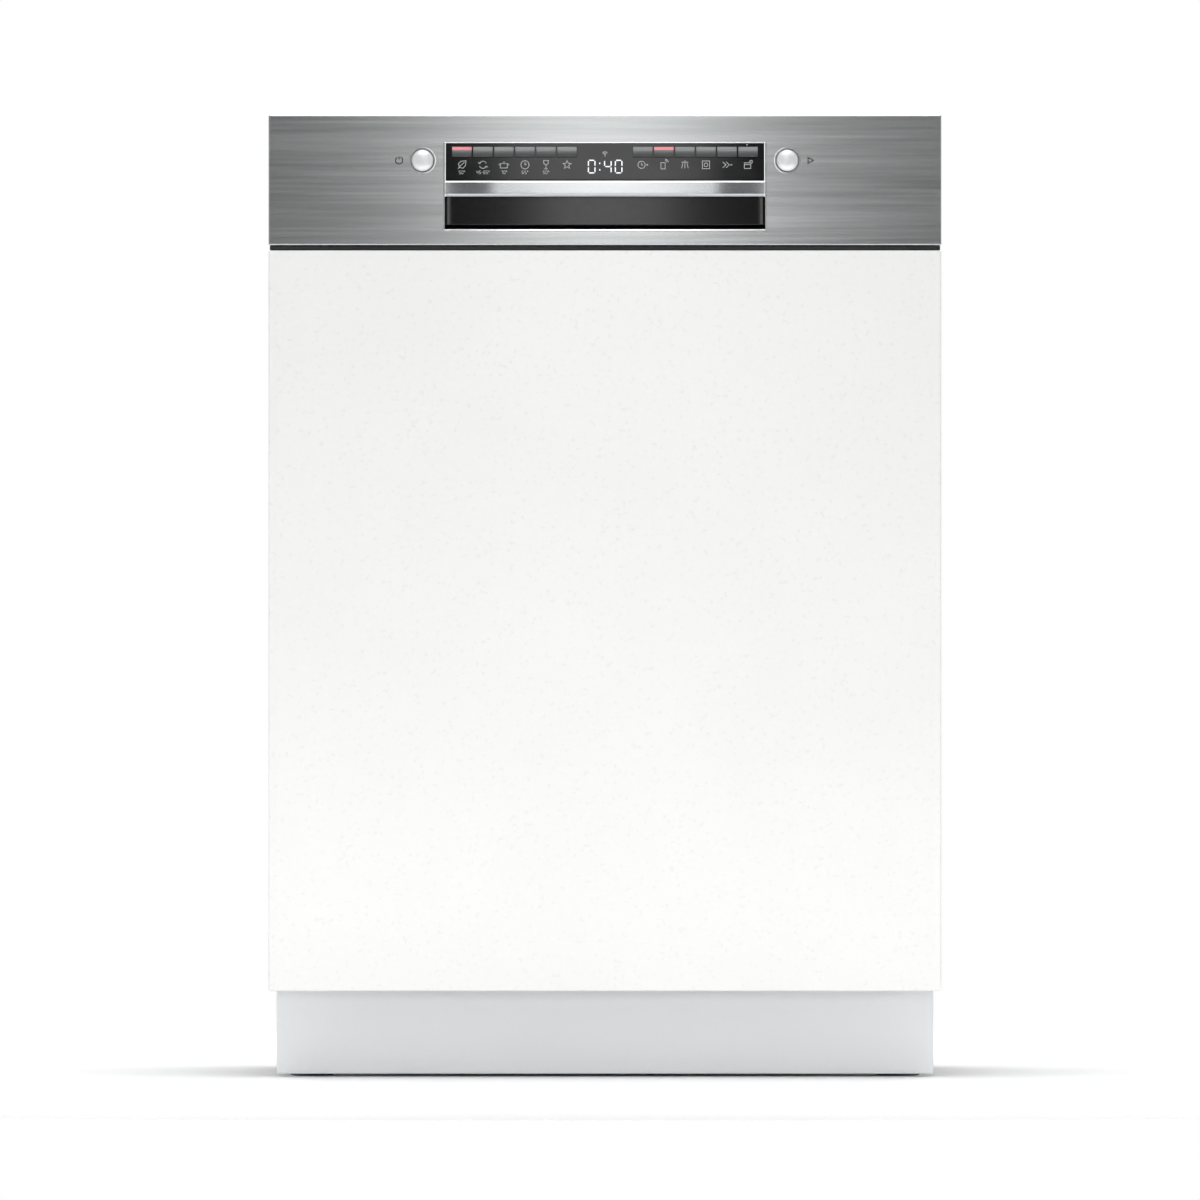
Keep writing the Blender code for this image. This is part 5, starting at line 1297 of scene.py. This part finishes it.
def makeUpperRack():
    low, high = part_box("upper_rack")
    size = (241 * mm, low.y, 212 * mm, 550 * mm, high.z)
    railZ, dockZ = 608 * mm, 546 * mm
    parts = basketWires("upperRack", size, midHeights=(0.585, 0.640))
    bars = []
    for side in (-1, 1):
        xs = sorted((side * 236.6 * mm, side * 241 * mm))
        bars.append(boxPiece("sideBar", (xs[0], -0.104, railZ - 5 * mm), (xs[1], 0.2115, railZ + 5 * mm),
            greyPlastic, 1.4 * mm, 3))
        for y in (0.020, 0.110):
            profile = inMm((0, 0), (3.2, 0), (3.2, 14.5), (7.3, 14.6), (7.9, 15.3), (7.9, 20.8), (7.3, 21.5),
                (2.5, 21.9), (0, 22))
            bars.append(lathe("railRoller", profile, (side * 239 * mm, y, railZ), (side, 0, 0), lightPlastic, 32))
    pipe = [(6.9 * mm, 0), (6.9 * mm, 0.205), (7.0 * mm, 0.2051), (7.0 * mm, 0.2135), (5.4 * mm, 0.2135),
        (5.4 * mm, 0.200), (0, 0.200)]
    bars.append(lathe("pipe", [(0, 0)] + pipe, (0, 0, dockZ), backward, greyPlastic, 32))
    cone = inMm((0, 514), (12, 514), (13, 515), (13, 517.6), (12.4, 518), (8, 518), (8, 534), (11, 534), (11, 549),
        (9, 552), (0, 552.5))
    bars.append(lathe("journal", cone, origin, upward, greyPlastic, 40))
    supports = []
    for x in (-0.150, -0.050, 0.050, 0.150):  # rows of short leaning cup supports
        for k in range(9):
            y = -0.165 + 0.040 * k
            supports.append([(x, y, 0.553), (x + 12 * mm, y, 0.612), (x + 16 * mm, y + 12 * mm, 0.612),
                (x + 4 * mm, y + 12 * mm, 0.553)])
    cups = bentWires("cupSupports", supports, 1.3 * mm, 4 * mm, rackNylon, 8)
    handle = boxPiece("handle", (-60 * mm, low.y + 0.4 * mm, high.z - 26 * mm),
        (60 * mm, low.y + 7.5 * mm, high.z - 8 * mm), greyPlastic, 3 * mm, 4)
    place(joinPieces("upperRack", parts + bars + [cups, handle]), "upper_rack", "upper_rack")
    for word in ("left", "right"):
        place(cadCopy("upper_rail_" + word, steelTub, 0.25 * mm, 2), "upper_rails", "upper_rail_" + word)
    print("upper rack")


makeUpperRack()


def makeSprayArms():
    # each arm: a rounded blade on a hub, with nozzles that lean along its swing
    for node in ("lower_spray_arm", "upper_spray_arm"):
        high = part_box(node)[1]
        blade = cadCopy(node, greyPlastic, 2.6 * mm, 4, 50, 60)
        reach = high.x
        spots = []
        for side in (-1, 1):
            for k, part in enumerate((0.30, 0.46, 0.62, 0.78, 0.91)):
                lean = 0.35 if (k + (side > 0)) % 2 else -0.35
                spots.append(((side * reach * part, (4 if k % 2 else -4) * mm, high.z - 0.15 * mm),
                    (0.25 * side * (k % 3 - 1), lean, 1), rightward))
        nozzle = lathe("nozzle", inMm((4.2, -1), (4.2, 0.1), (3.6, 0.8), (2.4, 1.0), (2.0, 0.5), (1.6, -0.6),
            (0, -0.6)), origin, upward, greyPlastic, 20)
        nozzles = scattered("nozzles", nozzle, spots, greyPlastic)
        # a flat black disc in each nozzle's mouth: painted shade standing in for the dark bore of the jet
        jetShadeDisc = lathe("jet", inMm((1.7, 0), (0, 0.05)), origin, upward, rubberBlack, 14)
        jets = scattered("jets", jetShadeDisc, [(Vector(s[0]) + Vector((0, 0, 0.1 * mm)), s[1], s[2]) for s in spots],
            rubberBlack)
        place(joinPieces(camel(node), [blade, nozzles, jets]), node, node)
    print("spray arms")


makeSprayArms()


def makeSumpParts():
    low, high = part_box("filter_cylinder")
    body = cadCopy("filter_cylinder", greyPlastic, 0.5 * mm, 2, 50, 60)
    middle = (low + high) / 2
    ribs = []
    for k in range(12):  # finger ribs round the collar
        angle = 2 * math.pi * k / 12
        way = Vector((math.cos(angle), math.sin(angle), 0))
        ribs.append((Vector((middle.x, middle.y, high.z - 0.2 * mm)) + way * 41 * mm, upward, way))
    rib = boxPiece("fingerRib", (-2.4 * mm, -1.0 * mm, -0.4 * mm), (2.4 * mm, 1.0 * mm, 1.3 * mm), greyPlastic,
        0.4 * mm, 2)
    place(joinPieces("filterCylinder", [body, scattered("fingerRibs", rib, ribs, greyPlastic)]), "filter_cylinder",
        "filter_cylinder")
    low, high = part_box("salt_cap")
    x, y, radius, tall = (low.x + high.x) / 2, (low.y + high.y) / 2, (high.x - low.x) / 2, high.z - low.z
    cap = [(0, 0), (radius - 0.6 * mm, 0), (radius, 0.8 * mm), (radius, tall - 4.2 * mm),
        (radius - 1.2 * mm, tall - 3.2 * mm), (radius - 6 * mm, tall - 3.0 * mm),
        (radius - 7 * mm, tall - 2.2 * mm), (0, tall - 2.0 * mm)]
    disc = lathe("saltCap", cap, (x, y, low.z), upward, lightPlastic, 64)
    grip = boxPiece("capGrip", (x - radius + 9 * mm, y - 4 * mm, high.z - 4 * mm),
        (x + radius - 9 * mm, y + 4 * mm, high.z), lightPlastic, 1.6 * mm, 3)
    ridge = lathe("ridge", inMm((0, 0), (1.0, 0), (1.0, 4), (0.6, 4.6), (0, 4.8)), origin, upward, lightPlastic, 10)
    ring, angles = radius - 0.6 * mm, [math.pi * k / 18 for k in range(36)]
    spots = [((x + ring * math.cos(a), y + ring * math.sin(a), low.z + 0.5 * mm), upward,
        rightward) for a in angles]
    place(joinPieces("saltCap", [disc, grip, scattered("capRidges", ridge, spots, lightPlastic)]), "salt_cap",
        "salt_cap")
    print("filter and salt cap")


makeSumpParts()
